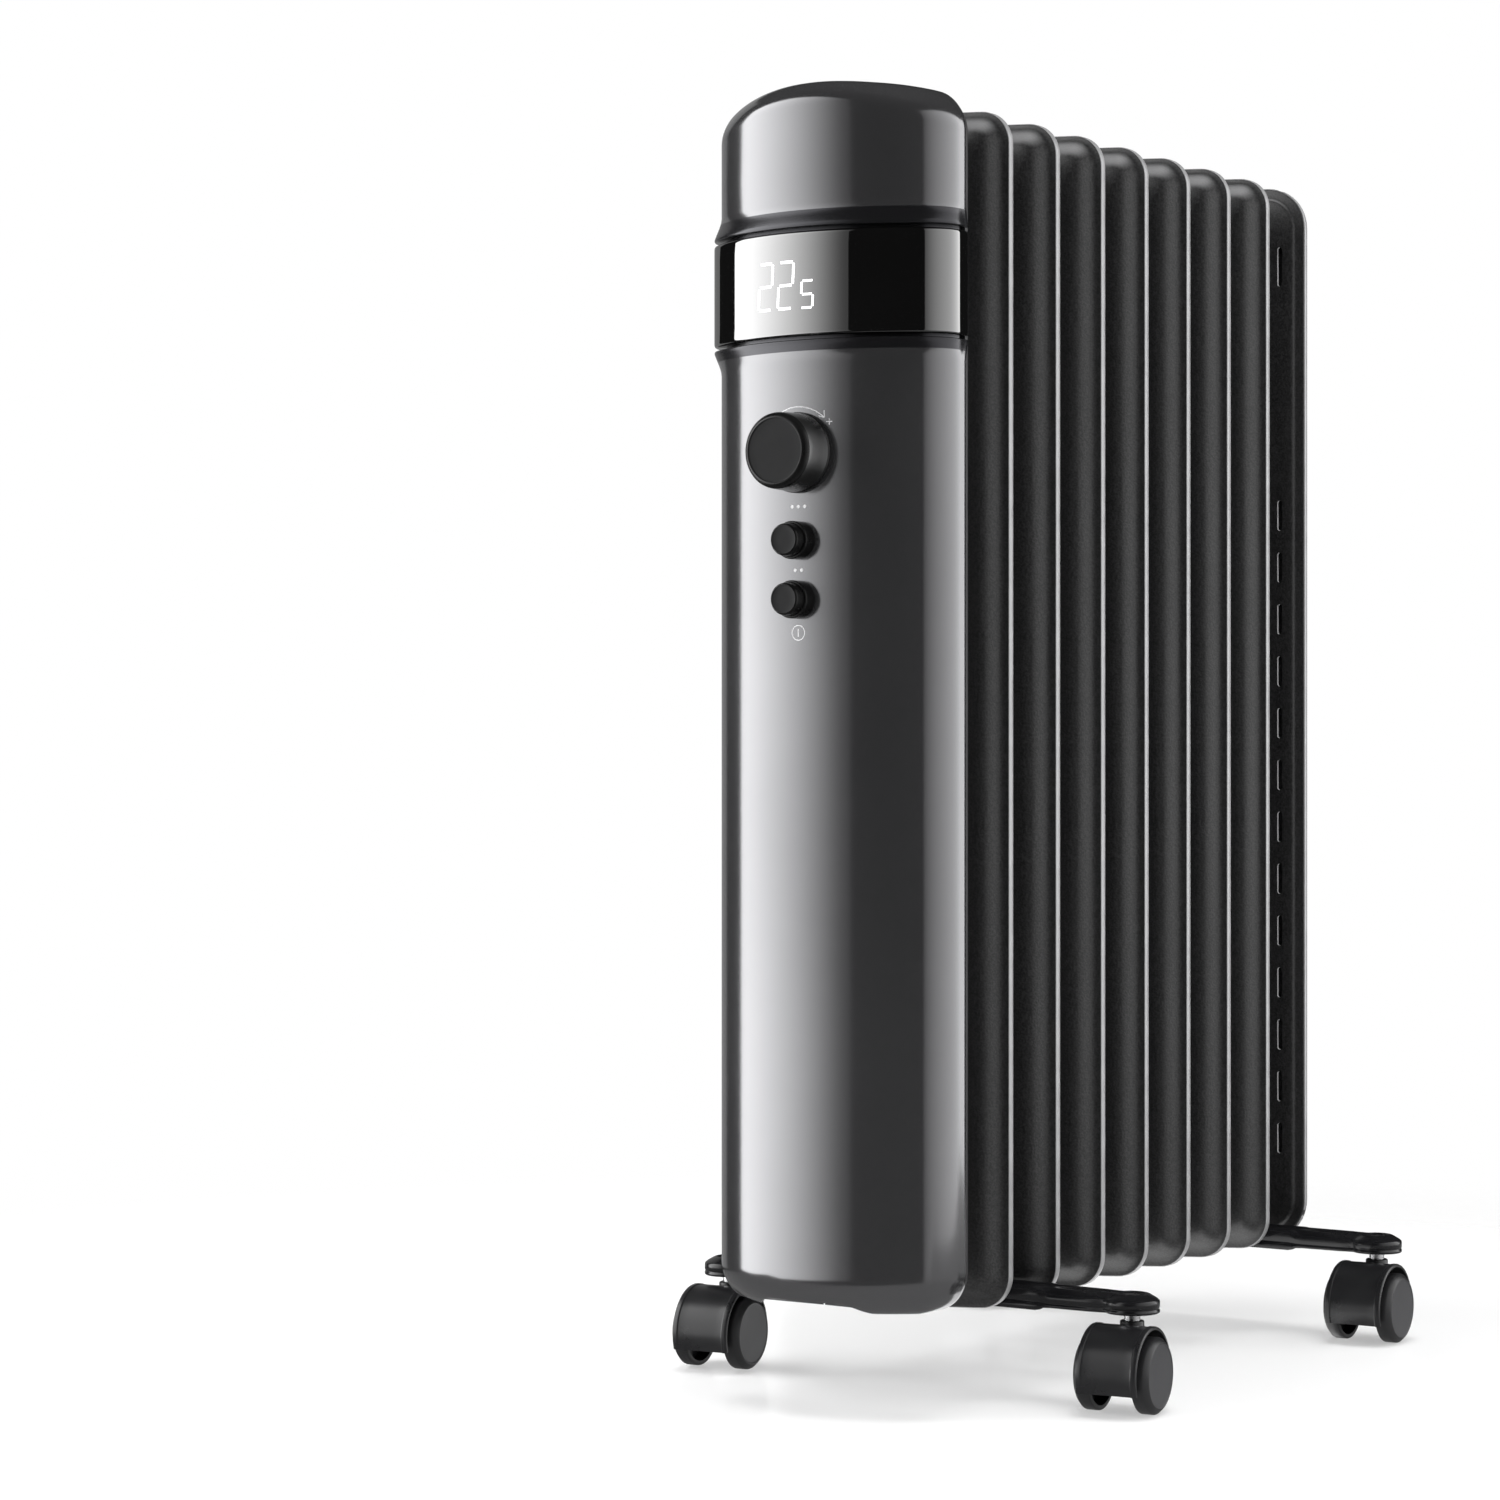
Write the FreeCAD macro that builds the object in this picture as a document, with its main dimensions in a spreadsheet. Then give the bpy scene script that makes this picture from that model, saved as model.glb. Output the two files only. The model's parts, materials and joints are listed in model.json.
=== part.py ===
import FreeCAD, Part
import math
import os
import Sketcher
from FreeCAD import Placement, Rotation, Vector

# Oil filled radiator heater on four twin-wheel casters.
# Frame: +Z up, floor at z = 0, +Y towards the rear cover, +X to the right of someone facing the controls.
# The origin lies on the floor, at the middle of the heater's length and width. Millimetres.

DRIVING_SIZES = {
    # radiator core
    "element_count": 7,
    "pitch": 46,
    "element_half_width": 65,
    "element_low": 44.4,
    "element_high": 640,
    "corner_radius": 17,
    "crown_radius": 700,
    "hem_half": 2,
    "bead_inset": 3,
    "bead_half": 6,
    "bead_round": 3.5,
    "pan_inset": 11,
    "pan_half": 11,
    "pan_round": 4.6,
    "pan_corner": 10,
    "steel": 0.8,
    "header_inset": 60,
    "header_radius": 22,
    "header_cap_thick": 3,
    # immersion heater
    "heater_reach": 290,
    "heater_spread": 7,
    "heater_tube_radius": 4,
    "heater_terminal": 4,
    "flange_thick": 2,
    "gasket_thick": 1.5,
    "gasket_eye": 15,
    "sleeve_radius": 20,
    "sleeve_bore": 17,
    "spacer_radius": 9,
    "header_bolt_radius": 3,
    # rear cover
    "cover_corner": 24,
    "cover_rim": 4.4,
    "cover_skin": 1.6,
    "cover_step": 1.5,
    "cover_step_inset": 6,
    "slot_radius": 1.4,
    "slot_length": 17,
    "slot_pitch": 29.2,
    "slot_count": 13,
    "slot_low": 95,
    "slot_inset": 14,
    "top_slot_centre": 594,
    "cover_spacer_radius": 8,
    "backing_thick": 1.2,
    # control housing
    "back_y": -152.1,
    "housing_half_width": 67.5,
    "housing_depth": 45.4,
    "housing_straight": 6,
    "housing_side_radius": 25,
    "wall": 2.5,
    "housing_low": 50.5,
    "housing_foot_round": 18,
    "arch_height": 7.5,
    "arch_half_width": 46,
    "band_low": 521.2,
    "band_high": 573.6,
    "band_proud": 2.2,
    "cap_high": 649,
    "cap_round": 24,
    "plate_thick": 3,
    "plate_inset": 1,
    "screw_x": 52,
    "screw_radius": 1.9,
    "screw_length": 18,
    "screw_head_radius": 3.6,
    "screw_head_height": 2.2,
    "post_radius": 4.5,
    "post_length": 25,
    "foot_screw_radius": 1.6,
    "foot_screw_back": 8,
    # controls
    "knob_z": 466,
    "knob_radius": 19.5,
    "knob_front_radius": 18.3,
    "knob_length": 20,
    "knob_gap": 0.6,
    "shaft_radius": 3,
    "knob_chamfer": 2.6,
    "knob_bore": 16.5,
    "knob_hub_radius": 5.5,
    "mode_z": 423.6,
    "power_z": 395,
    "button_radius": 7.85,
    "button_length": 13,
    "bezel_radius": 9.25,
    "bezel_length": 7,
    "bezel_flange_radius": 11.5,
    "button_chamfer": 0.8,
    "plunger_radius": 2,
    "running_gap": 0.1,
    "board_y": 30,
    "board_thick": 1.6,
    # electrics on the back plate
    "board_post": 12,
    "board_post_radius": 3,
    "terminal_x": -30,
    "terminal_z": 74,
    "safety_z": 190,
    # cable gland in the housing's floor
    "gland_x": 20,
    "gland_inset": 13,
    "gland_seat": 56.5,
    "gland_flange_radius": 11,
    "gland_neck": 8,
    "gland_length": 20,
    "lead_radius": 3.8,
    # feet
    "front_bar_y": 69,
    "rear_bar_y": 344,
    "bar_top": 56.5,
    "bar_low": 47,
    "bar_wall": 1.5,
    "bar_half_width": 12.5,
    "bar_inner_half": 74,
    "neck_half_width": 9.5,
    "stem_x": 120,
    "paddle_radius": 14,
    "bolt_radius": 2.5,
    "bolt_gap": 0.3,
    # casters
    "stem_radius": 4,
    "socket_gap": 0.05,
    "trail": 11.5,
    "wheel_radius": 18.75,
    "wheel_inner": 11,
    "wheel_outer": 19.8,
    "wheel_chamfer": 2.5,
    "hub_radius": 5,
    "hub_inner": 7.2,
    "axle_radius": 2,
    "hood_radius": 23.75,
    "hood_skin": 1.8,
    "hood_half_width": 15.8,
    "hood_low": 11,
    "web_half": 2.5,
    "collar_top": 43.2,
    "collar_radius": 6.1,
}

# Rest heading of each caster: degrees anticlockwise seen from above; at zero its wheels trail to the front.
CASTERS = {
    "front_right": (1, "front_bar_y", 7),
    "front_left": (-1, "front_bar_y", 7),
    "rear_right": (1, "rear_bar_y", 3),
    "rear_left": (-1, "rear_bar_y", -7),
}

ALONG_X = Rotation(Vector(0, 1, 0), 90)
ALONG_Y = Rotation(Vector(1, 0, 0), -90)
UP_TO_ALONG_Y = Rotation(Vector(0, 1, 0), -90)

doc = FreeCAD.newDocument("OilFilledHeater")
sheet = doc.addObject("Spreadsheet::Sheet", "Size")
parts = {}


def fill_sheet():
    for row, (alias, value) in enumerate(DRIVING_SIZES.items(), start=1):
        sheet.set(f"A{row}", alias)
        sheet.set(f"B{row}", str(value))
        sheet.setAlias(f"B{row}", alias)
    doc.recompute()


def size(alias):
    return float(sheet.get(alias))


def bind(item, **formulas):
    """Bind properties of item to formulas; a double underscore stands for a dot."""
    for name, formula in formulas.items():
        item.setExpression(name.replace("__", "."), str(formula))
    return item


def put(item, at, turn=None):
    """Place item at three formulas, turned by a fixed rotation."""
    if turn is not None:
        item.Placement = Placement(Vector(), turn)
    for axis, formula in zip("xyz", at):
        item.setExpression(f"Placement.Base.{axis}", str(formula))
    return item


def box(name, length, width, height, centre):
    """A block centred on three formulas."""
    item = doc.addObject("Part::Box", name)
    bind(item, Length=length, Width=width, Height=height)
    sides = (length, width, height)
    return put(item, [f"({middle}) - ({side}) / 2" for middle, side in zip(centre, sides)])


def rod(name, radius, length, start, turn=None):
    """A cylinder from start, along +Z or along the turned direction."""
    item = doc.addObject("Part::Cylinder", name)
    bind(item, Radius=radius, Height=length)
    return put(item, start, turn)


def cone(name, radius_low, radius_high, length, start, turn=None):
    item = doc.addObject("Part::Cone", name)
    bind(item, Radius1=radius_low, Radius2=radius_high, Height=length)
    return put(item, start, turn)


def fuse(name, *items):
    joined = doc.addObject("Part::MultiFuse", name)
    joined.Shapes = list(items)
    joined.Refine = True
    return joined


def cut(name, base, *tools):
    result = doc.addObject("Part::Cut", name)
    result.Base = base
    result.Tool = tools[0] if len(tools) == 1 else fuse(name + "_tools", *tools)
    return result


def group(name, *items):
    """Identical fasteners in one node, as separate solids."""
    together = doc.addObject("Part::Compound", name)
    together.Links = list(items)
    return together


def clone(name, source, at, turn=None):
    """A further copy of a solid, with a place of its own."""
    copy = doc.addObject("PartDesign::Body", name)
    copy.BaseFeature = source
    return put(copy, at, turn)


def keep(node, item):
    """Name a finished sub-part."""
    item.Label = node
    parts[node] = item
    return item


# Sketches and bodies


def new_body(name):
    return doc.addObject("PartDesign::Body", name)


def new_sketch(body, name, role):
    sketch = body.newObject("Sketcher::SketchObject", name)
    plane = [item for item in body.Origin.OriginFeatures if item.Role == role][0]
    sketch.AttachmentSupport = [(plane, "")]
    sketch.MapMode = "FlatFace"
    return sketch


def constrain(sketch, name, formula, *where):
    """Add a named dimension and bind it to a formula."""
    index = sketch.addConstraint(Sketcher.Constraint(*where))
    sketch.renameConstraint(index, name)
    sketch.setExpression(f"Constraints.{name}", formula)


def arc(centre, radius, start, end):
    circle = Part.Circle(Vector(*centre, 0), Vector(0, 0, 1), radius)
    return Part.ArcOfCircle(circle, start, end)


def join_tangent(sketch, count):
    for first in range(count):
        sketch.addConstraint(Sketcher.Constraint("Tangent", first, 2, (first + 1) % count, 1))


ELEMENT_EXTENT = ("element_half_width", "element_low", "element_high")
HOUSING_EXTENT = ("housing_half_width", "housing_low", "cap_high")


def upright_outline(body, name, inset, corner, extent=ELEMENT_EXTENT):
    """Tall outline in the XZ plane: straight sides, crowned ends and round corners."""
    sketch = new_sketch(body, name, "XZ_Plane")
    half_alias, low_alias, high_alias = extent
    half = size(half_alias) - inset
    low = size(low_alias) + inset
    high = size(high_alias) - inset
    crown = size("crown_radius") - inset
    rise = math.sqrt((crown - corner) ** 2 - (half - corner) ** 2)
    top_z = high - crown + rise
    bottom_z = low + crown - rise
    lean = math.atan2(rise, half - corner)
    side = half - corner
    sketch.addGeometry([
        Part.LineSegment(Vector(half, bottom_z, 0), Vector(half, top_z, 0)),
        arc((side, top_z), corner, 0, lean),
        arc((0, high - crown), crown, lean, math.pi - lean),
        arc((-side, top_z), corner, math.pi - lean, math.pi),
        Part.LineSegment(Vector(-half, top_z, 0), Vector(-half, bottom_z, 0)),
        arc((-side, bottom_z), corner, math.pi, math.pi + lean),
        arc((0, low + crown), crown, math.pi + lean, 2 * math.pi - lean),
        arc((side, bottom_z), corner, 2 * math.pi - lean, 2 * math.pi),
    ])
    join_tangent(sketch, 8)
    sketch.addConstraint(Sketcher.Constraint("Vertical", 0))
    sketch.addConstraint(Sketcher.Constraint("Vertical", 4))
    for follower in (3, 5, 7):
        sketch.addConstraint(Sketcher.Constraint("Equal", 1, follower))
    sketch.addConstraint(Sketcher.Constraint("Equal", 2, 6))
    sketch.addConstraint(Sketcher.Constraint("PointOnObject", 2, 3, -2))
    sketch.addConstraint(Sketcher.Constraint("PointOnObject", 6, 3, -2))
    constrain(sketch, "corner", f"{corner}", "Radius", 1, corner)
    constrain(sketch, "crown", f"Size.crown_radius - {inset}", "Radius", 2, crown)
    constrain(sketch, "right", f"Size.{half_alias} - {inset}", "DistanceX", -1, 1, 0, 1, half)
    constrain(sketch, "left", f"Size.{half_alias} - {inset}", "DistanceX", 4, 1, -1, 1, half)
    constrain(sketch, "top", f"Size.crown_radius - Size.{high_alias}", "DistanceY", 2, 3, -1, 1, crown - high)
    constrain(sketch, "bottom", f"Size.{low_alias} + Size.crown_radius", "DistanceY", -1, 1, 6, 3,
              low + crown)
    return sketch


def pad(body, sketch, name, length):
    """Pad a sketch evenly to both sides of its plane."""
    feature = body.newObject("PartDesign::Pad", name)
    feature.Profile = sketch
    feature.SideType = "Symmetric"
    feature.setExpression("Length", length)
    sketch.Visibility = False
    doc.recompute()
    return feature


def round_ends(body, base, name, half_thick, radius):
    """Round the outline edges of a symmetric pad, on both its faces."""
    edges = []
    for index, edge in enumerate(base.Shape.Edges, start=1):
        extent = edge.BoundBox
        flat = extent.YLength < 1e-4
        if flat and abs(abs(extent.YMin) - half_thick) < 1e-4:
            edges.append(f"Edge{index}")
    fillet = body.newObject("PartDesign::Fillet", name)
    fillet.Base = (base, edges)
    fillet.setExpression("Radius", radius)
    doc.recompute()
    return fillet


def header_circles(body, name, radius):
    sketch = new_sketch(body, name, "XZ_Plane")
    heights = {
        "lower": "Size.element_low + Size.header_inset",
        "upper": "Size.element_high - Size.header_inset",
    }
    places = (size("element_low") + size("header_inset"), size("element_high") - size("header_inset"))
    start_radius = size("header_radius")
    for index, (label, height) in enumerate(zip(heights, places)):
        sketch.addGeometry(Part.Circle(Vector(0, height, 0), Vector(0, 0, 1), start_radius))
        sketch.addConstraint(Sketcher.Constraint("PointOnObject", index, 3, -2))
        constrain(sketch, label, heights[label], "DistanceY", -1, 1, index, 3, height)
        constrain(sketch, label + "_radius", radius, "Radius", index, start_radius)
    return sketch


def pressed_form(name, shrink, header_radius, header_half):
    """One oil element's form: hem, bead, pan and two headers. shrink is the inward offset of its skin."""
    body = new_body(name)
    if shrink == 0:
        hem = upright_outline(body, name + "_hem", 0, size("corner_radius"))
        pad(body, hem, name + "_hem_pad", "2 * Size.hem_half")
    bead_inset = size("bead_inset") + shrink
    bead_corner = size("corner_radius") - bead_inset
    bead = upright_outline(body, name + "_bead", bead_inset, bead_corner)
    bead_pad = pad(body, bead, name + "_bead_pad", f"2 * (Size.bead_half - {shrink})")
    round_ends(body, bead_pad, name + "_bead_round", size("bead_half") - shrink,
               f"Size.bead_round - {shrink}")
    pan_inset = size("pan_inset") + shrink
    pan_corner = size("pan_corner") - shrink
    pan = upright_outline(body, name + "_pan", pan_inset, pan_corner)
    pan_pad = pad(body, pan, name + "_pan_pad", f"2 * (Size.pan_half - {shrink})")
    round_ends(body, pan_pad, name + "_pan_round", size("pan_half") - shrink,
               f"Size.pan_round - {shrink}")
    headers = header_circles(body, name + "_headers", header_radius)
    pad(body, headers, name + "_header_pad", f"2 * ({header_half})")
    return body


def make_elements():
    """Pressed steel elements, hollow for the oil, joined header to header."""
    skin = size("steel")
    outer = pressed_form("element_form", 0, "Size.header_radius", "Size.pitch / 2")
    oil = pressed_form("oil_space", skin, f"Size.header_radius - {skin}", "Size.pitch / 2 + 1")
    for number in range(1, int(size("element_count")) + 1):
        element = cut(f"Element{number}", outer, oil)
        put(element, (0, f"Size.back_y + {number} * Size.pitch", 0))
        keep(f"element_{number}", element)


def make_header_caps():
    """Pressed caps close the upper header at both ends and the lower one at the rear."""
    low = "Size.element_low + Size.header_inset"
    high = "Size.element_high - Size.header_inset"
    front = "Size.back_y + Size.pitch / 2 - Size.header_cap_thick"
    rear = "Size.back_y + (Size.element_count + 0.5) * Size.pitch"
    places = {"upper_front": (front, high), "upper_rear": (rear, high), "lower_rear": (rear, low)}
    caps = []
    for label, (along, height) in places.items():
        caps.append(rod("Cap_" + label, "Size.header_radius", "Size.header_cap_thick",
                        (0, along, height), ALONG_Y))
    keep("header_caps", group("HeaderCaps", *caps))


def make_immersion_heater():
    """Two hairpin tubes on a flange, screwed into the front of the lower header."""
    height = "Size.element_low + Size.header_inset"
    flange_y = "Size.back_y + Size.pitch / 2 - Size.flange_thick - Size.gasket_thick"
    tubes = []
    holes = []
    for sign in (-1, 1):
        across = f"{sign} * Size.heater_spread"
        for level in (-1, 1):
            leg_height = f"{height} + {level} * Size.heater_spread"
            tubes.append(rod(f"Leg{sign + 1}{level + 1}", "Size.heater_tube_radius",
                             "Size.heater_reach + Size.heater_terminal",
                             (across, "Size.back_y - Size.heater_terminal", leg_height), ALONG_Y))
            holes.append(rod(f"FlangeHole{sign + 1}{level + 1}", "Size.heater_tube_radius", 4,
                             (across, f"{flange_y} - 1", leg_height), ALONG_Y))
        bend = doc.addObject("Part::Torus", f"Bend{sign + 1}")
        bind(bend, Radius1="Size.heater_spread", Radius2="Size.heater_tube_radius", Angle3=180)
        tubes.append(put(bend, (across, "Size.back_y + Size.heater_reach", height), UP_TO_ALONG_Y))
    keep("heater_tubes", fuse("HeaterTubes", *tubes))
    plate = rod("FlangePlate", "Size.header_radius", "Size.flange_thick", (0, flange_y, height), ALONG_Y)
    keep("heater_flange", cut("HeaterFlange", plate, *holes))
    ring = rod("GasketDisc", "Size.header_radius", "Size.gasket_thick",
               (0, f"{flange_y} + Size.flange_thick", height), ALONG_Y)
    eye = rod("GasketEye", "Size.gasket_eye", 4, (0, f"{flange_y} + 1", height), ALONG_Y)
    keep("heater_gasket", cut("HeaterGasket", ring, eye))

    sleeve = rod("CollarOuter", "Size.sleeve_radius", f"({flange_y}) - Size.back_y - Size.plate_thick",
                 (0, "Size.back_y + Size.plate_thick", height), ALONG_Y)
    inside = rod("CollarInner", "Size.sleeve_bore", 40, (0, "Size.back_y - 5", height), ALONG_Y)
    keep("heater_collar", cut("HeaterCollar", sleeve, inside))
    top = "Size.element_high - Size.header_inset"
    spacer = rod("SpacerOuter", "Size.spacer_radius",
                 "Size.pitch / 2 - Size.header_cap_thick - Size.plate_thick",
                 (0, "Size.back_y + Size.plate_thick", top), ALONG_Y)
    eye = rod("SpacerInner", "Size.header_bolt_radius", 40, (0, "Size.back_y - 5", top), ALONG_Y)
    keep("upper_spacer", cut("UpperSpacer", spacer, eye))


def make_rear_cover():
    """Slotted cover behind the last element, with folded rim and raised field, and its backing sheet."""
    body = new_body("CoverForm")
    rim = upright_outline(body, "CoverRim", 0, size("cover_corner"))
    pad(body, rim, "CoverRimPad", "Size.cover_rim")
    step = upright_outline(body, "CoverField", size("cover_step_inset"),
                           size("cover_corner") - size("cover_step_inset"))
    pad(body, step, "CoverFieldPad", "Size.cover_rim + 2 * Size.cover_step")
    hollow = new_body("CoverHollow")
    wide = upright_outline(hollow, "HollowRim", size("cover_skin"),
                           size("cover_corner") - size("cover_skin"))
    pad(hollow, wide, "HollowRimPad", "Size.cover_rim")
    inner_inset = size("cover_step_inset") + size("cover_skin")
    field = upright_outline(hollow, "HollowField", inner_inset, size("cover_corner") - inner_inset)
    pad(hollow, field, "HollowFieldPad", "Size.cover_rim + 2 * Size.cover_step")
    hollow.setExpression("Placement.Base.y", "Size.cover_skin")
    rear_half = box("CoverRear", 200, 20, 700, (0, "10 + Size.cover_rim / 2", 350))
    slots = []
    for side in (-1, 1):
        across = f"{side} * (Size.element_half_width - Size.slot_inset)"
        for index in range(int(size("slot_count"))):
            middle = f"Size.slot_low + Size.slot_length / 2 + {index} * Size.slot_pitch"
            slots.append(slot(f"Slot{side + 1}_{index}", across, middle))
        slots.append(slot(f"Slot{side + 1}_top", across, "Size.top_slot_centre"))
    cover = cut("RearCover", body, hollow, rear_half, *slots)
    middle = "Size.back_y + (Size.element_count + 1) * Size.pitch"
    put(cover, (0, middle, 0))
    keep("rear_cover", cover)
    backing = new_body("BackingForm")
    sheet_inset = size("cover_skin")
    sheet = upright_outline(backing, "BackingOutline", sheet_inset, size("cover_corner") - sheet_inset)
    pad(backing, sheet, "BackingPad", "Size.backing_thick")
    put(backing, (0, f"{middle} + Size.cover_rim / 2 - 0.9", 0))
    keep("cover_backing", backing)
    rear = "Size.back_y + (Size.element_count + 0.5) * Size.pitch + Size.header_cap_thick"
    length = "Size.pitch / 2 - Size.header_cap_thick - Size.cover_rim / 2 - Size.cover_step"
    spacers = []
    for label, height in {
        "low": "Size.element_low + Size.header_inset",
        "high": "Size.element_high - Size.header_inset",
    }.items():
        spacers.append(rod("CoverSpacer_" + label, "Size.cover_spacer_radius", length,
                           (0, rear, height), ALONG_Y))
    keep("cover_spacers", group("CoverSpacers", *spacers))


def slot(name, across, middle):
    """Upright slot with round ends, cut through the cover."""
    straight = "Size.slot_length - 2 * Size.slot_radius"
    web = box(name + "_web", "2 * Size.slot_radius", 20, straight, (across, 0, middle))
    ends = []
    for sign in (-1, 1):
        height = f"{middle} + {sign} * ({straight}) / 2"
        ends.append(rod(f"{name}_end{sign + 1}", "Size.slot_radius", 20, (across, -10, height), ALONG_Y))
    return fuse(name, web, *ends)


def d_section(body, name, inset):
    """Plan section of the control housing, seen from above: flat back, straight sides, round front."""
    sketch = new_sketch(body, name, "XY_Plane")
    half = size("housing_half_width") - inset
    depth = size("housing_depth") - inset
    side = size("housing_side_radius") - inset
    straight = size("housing_straight")
    round_depth = depth - straight
    reach = half - side
    front = (reach ** 2 + round_depth ** 2 - side ** 2) / (2 * (round_depth - side))
    front_centre = -depth + front
    lean = math.atan2(-straight - front_centre, reach)
    sketch.addGeometry([
        Part.LineSegment(Vector(half, 0, 0), Vector(-half, 0, 0)),
        Part.LineSegment(Vector(-half, 0, 0), Vector(-half, -straight, 0)),
        arc((-reach, -straight), side, math.pi, math.pi - lean),
        arc((0, front_centre), front, math.pi - lean, 2 * math.pi + lean),
        arc((reach, -straight), side, 2 * math.pi + lean, 2 * math.pi),
        Part.LineSegment(Vector(half, -straight, 0), Vector(half, 0, 0)),
    ])
    sketch.addConstraint(Sketcher.Constraint("Coincident", 5, 2, 0, 1))
    sketch.addConstraint(Sketcher.Constraint("Coincident", 0, 2, 1, 1))
    for first in range(1, 5):
        sketch.addConstraint(Sketcher.Constraint("Tangent", first, 2, first + 1, 1))
    sketch.addConstraint(Sketcher.Constraint("Horizontal", 0))
    sketch.addConstraint(Sketcher.Constraint("Vertical", 1))
    sketch.addConstraint(Sketcher.Constraint("Vertical", 5))
    sketch.addConstraint(Sketcher.Constraint("PointOnObject", 3, 3, -2))
    sketch.addConstraint(Sketcher.Constraint("PointOnObject", 0, 1, -1))
    sketch.addConstraint(Sketcher.Constraint("Equal", 2, 4))
    constrain(sketch, "side", f"Size.housing_side_radius - {inset}", "Radius", 4, side)
    constrain(sketch, "right", f"Size.housing_half_width - {inset}", "DistanceX", -1, 1, 0, 1, half)
    constrain(sketch, "left", f"Size.housing_half_width - {inset}", "DistanceX", 0, 2, -1, 1, half)
    constrain(sketch, "straight", "Size.housing_straight", "DistanceY", 5, 1, 5, 2, straight)
    constrain(sketch, "nose", f"{front_centre}", "DistanceY", -1, 1, 3, 3, front_centre)
    return sketch


def d_prism(name, inset, low, high, round_level=None, round_size=None):
    """Upright prism on the housing's section; one end may have its edge rounded."""
    body = new_body(name)
    sketch = d_section(body, name + "_section", inset)
    feature = body.newObject("PartDesign::Pad", name + "_pad")
    feature.Profile = sketch
    feature.setExpression("Length", f"({high}) - ({low})")
    doc.recompute()
    if round_level is not None:
        level = feature.Length.Value if round_level == "top" else 0
        edges = []
        for index, edge in enumerate(feature.Shape.Edges, start=1):
            extent = edge.BoundBox
            flat = abs(extent.ZMin - level) < 1e-4 and abs(extent.ZMax - level) < 1e-4
            if flat and extent.YMin < -1e-4:
                edges.append(f"Edge{index}")
        fillet = body.newObject("PartDesign::Fillet", name + "_round")
        fillet.Base = (feature, edges)
        fillet.setExpression("Radius", round_size)
        doc.recompute()
    return put(body, (0, "Size.back_y", low))


def front_y(beyond):
    """Formula for a place in front of the housing's foremost line."""
    return f"Size.back_y - Size.housing_depth - ({beyond})"


def screw_post(name, height):
    """Two posts inside the housing, bored for the screws that come from the back."""
    posts = []
    for sign in (-1, 1):
        start = (f"{sign} * Size.screw_x", "Size.back_y - Size.post_length", height)
        posts.append(rod(f"{name}{sign + 1}", "Size.post_radius", "Size.post_length", start, ALONG_Y))
    return posts


def screw_bores(name, height):
    bores = []
    for sign in (-1, 1):
        start = (f"{sign} * Size.screw_x", "Size.back_y - 20", height)
        bores.append(rod(f"{name}{sign + 1}", "Size.screw_radius", 40, start, ALONG_Y))
    return bores


def arch_cutter(name):
    """Broad cylinder along Y that arches the lower edge."""
    radius = "((Size.arch_half_width ^ 2 + Size.arch_height ^ 2) / (2 * Size.arch_height))"
    start = (0, "Size.back_y - 100", f"Size.housing_low + Size.arch_height - {radius}")
    return rod(name, radius, 120, start, ALONG_Y)


def gland_rod(name, radius, length, low):
    """Upright cylinder on the cable gland's axis."""
    return rod(name, radius, length, ("Size.gland_x", GLAND_Y, low))


SCREW_HEIGHTS = {"foot": 84, "chest": 496, "crown": 606}
INNER_FLOOR = "Size.housing_low + Size.arch_height + Size.wall"
GLAND_Y = "Size.back_y - Size.gland_inset"


def make_housing():
    """Front housing in three mouldings: body, display band and top cap."""
    outer = d_prism("BodyOuter", 0, "Size.housing_low", "Size.band_low", "bottom", "Size.housing_foot_round")
    inner = d_prism("BodyInner", size("wall"), INNER_FLOOR, "Size.band_low + 1", "bottom",
                    "Size.housing_foot_round - Size.wall")
    posts = screw_post("FootPost", SCREW_HEIGHTS["foot"]) + screw_post("ChestPost", SCREW_HEIGHTS["chest"])
    shell = fuse("BodyPosted", cut("BodyShell", outer, inner), *posts)
    knob_hole = rod("KnobHole", "Size.shaft_radius + 0.6", 20, (0, front_y(5), "Size.knob_z"), ALONG_Y)
    button_holes = []
    for label in ("mode", "power"):
        button_holes.append(rod(f"ButtonHole_{label}", "Size.bezel_radius", 20,
                                (0, front_y(5), f"Size.{label}_z"), ALONG_Y))
    bores = screw_bores("FootBore", SCREW_HEIGHTS["foot"]) + screw_bores("ChestBore", SCREW_HEIGHTS["chest"])
    foot_hole = rod("FootHole", "Size.foot_screw_radius", 22,
                    (0, front_y("-Size.foot_screw_back"), "Size.housing_low"))
    gland_tools = [
        gland_rod("GlandSeat", "Size.gland_flange_radius + 0.2", 20, "Size.gland_seat - 20"),
        gland_rod("GlandNeckHole", "Size.gland_neck", 20, "Size.gland_seat - 5"),
    ]
    keep("housing_body", cut("HousingBody", shell, arch_cutter("Arch"), knob_hole, foot_hole,
                             *button_holes, *bores, *gland_tools))

    proud = -size("band_proud")
    band_outer = d_prism("BandOuter", proud, "Size.band_low", "Size.band_high")
    band_inner = d_prism("BandInner", size("wall"), "Size.band_low - 1", "Size.band_high + 1")
    keep("display_band", cut("DisplayBand", band_outer, band_inner))

    cap_outer = d_prism("CapOuter", 0, "Size.band_high", "Size.cap_high", "top", "Size.cap_round")
    cap_inner = d_prism("CapInner", size("wall"), "Size.band_high - 1", "Size.cap_high - Size.wall",
                        "top", "Size.cap_round - Size.wall")
    cap_shell = cut("CapShell", cap_outer, cap_inner)
    cap = fuse("CapPosted", cap_shell, *screw_post("CrownPost", SCREW_HEIGHTS["crown"]))
    keep("housing_cap", cut("HousingCap", cap, *screw_bores("CrownBore", SCREW_HEIGHTS["crown"])))


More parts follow.
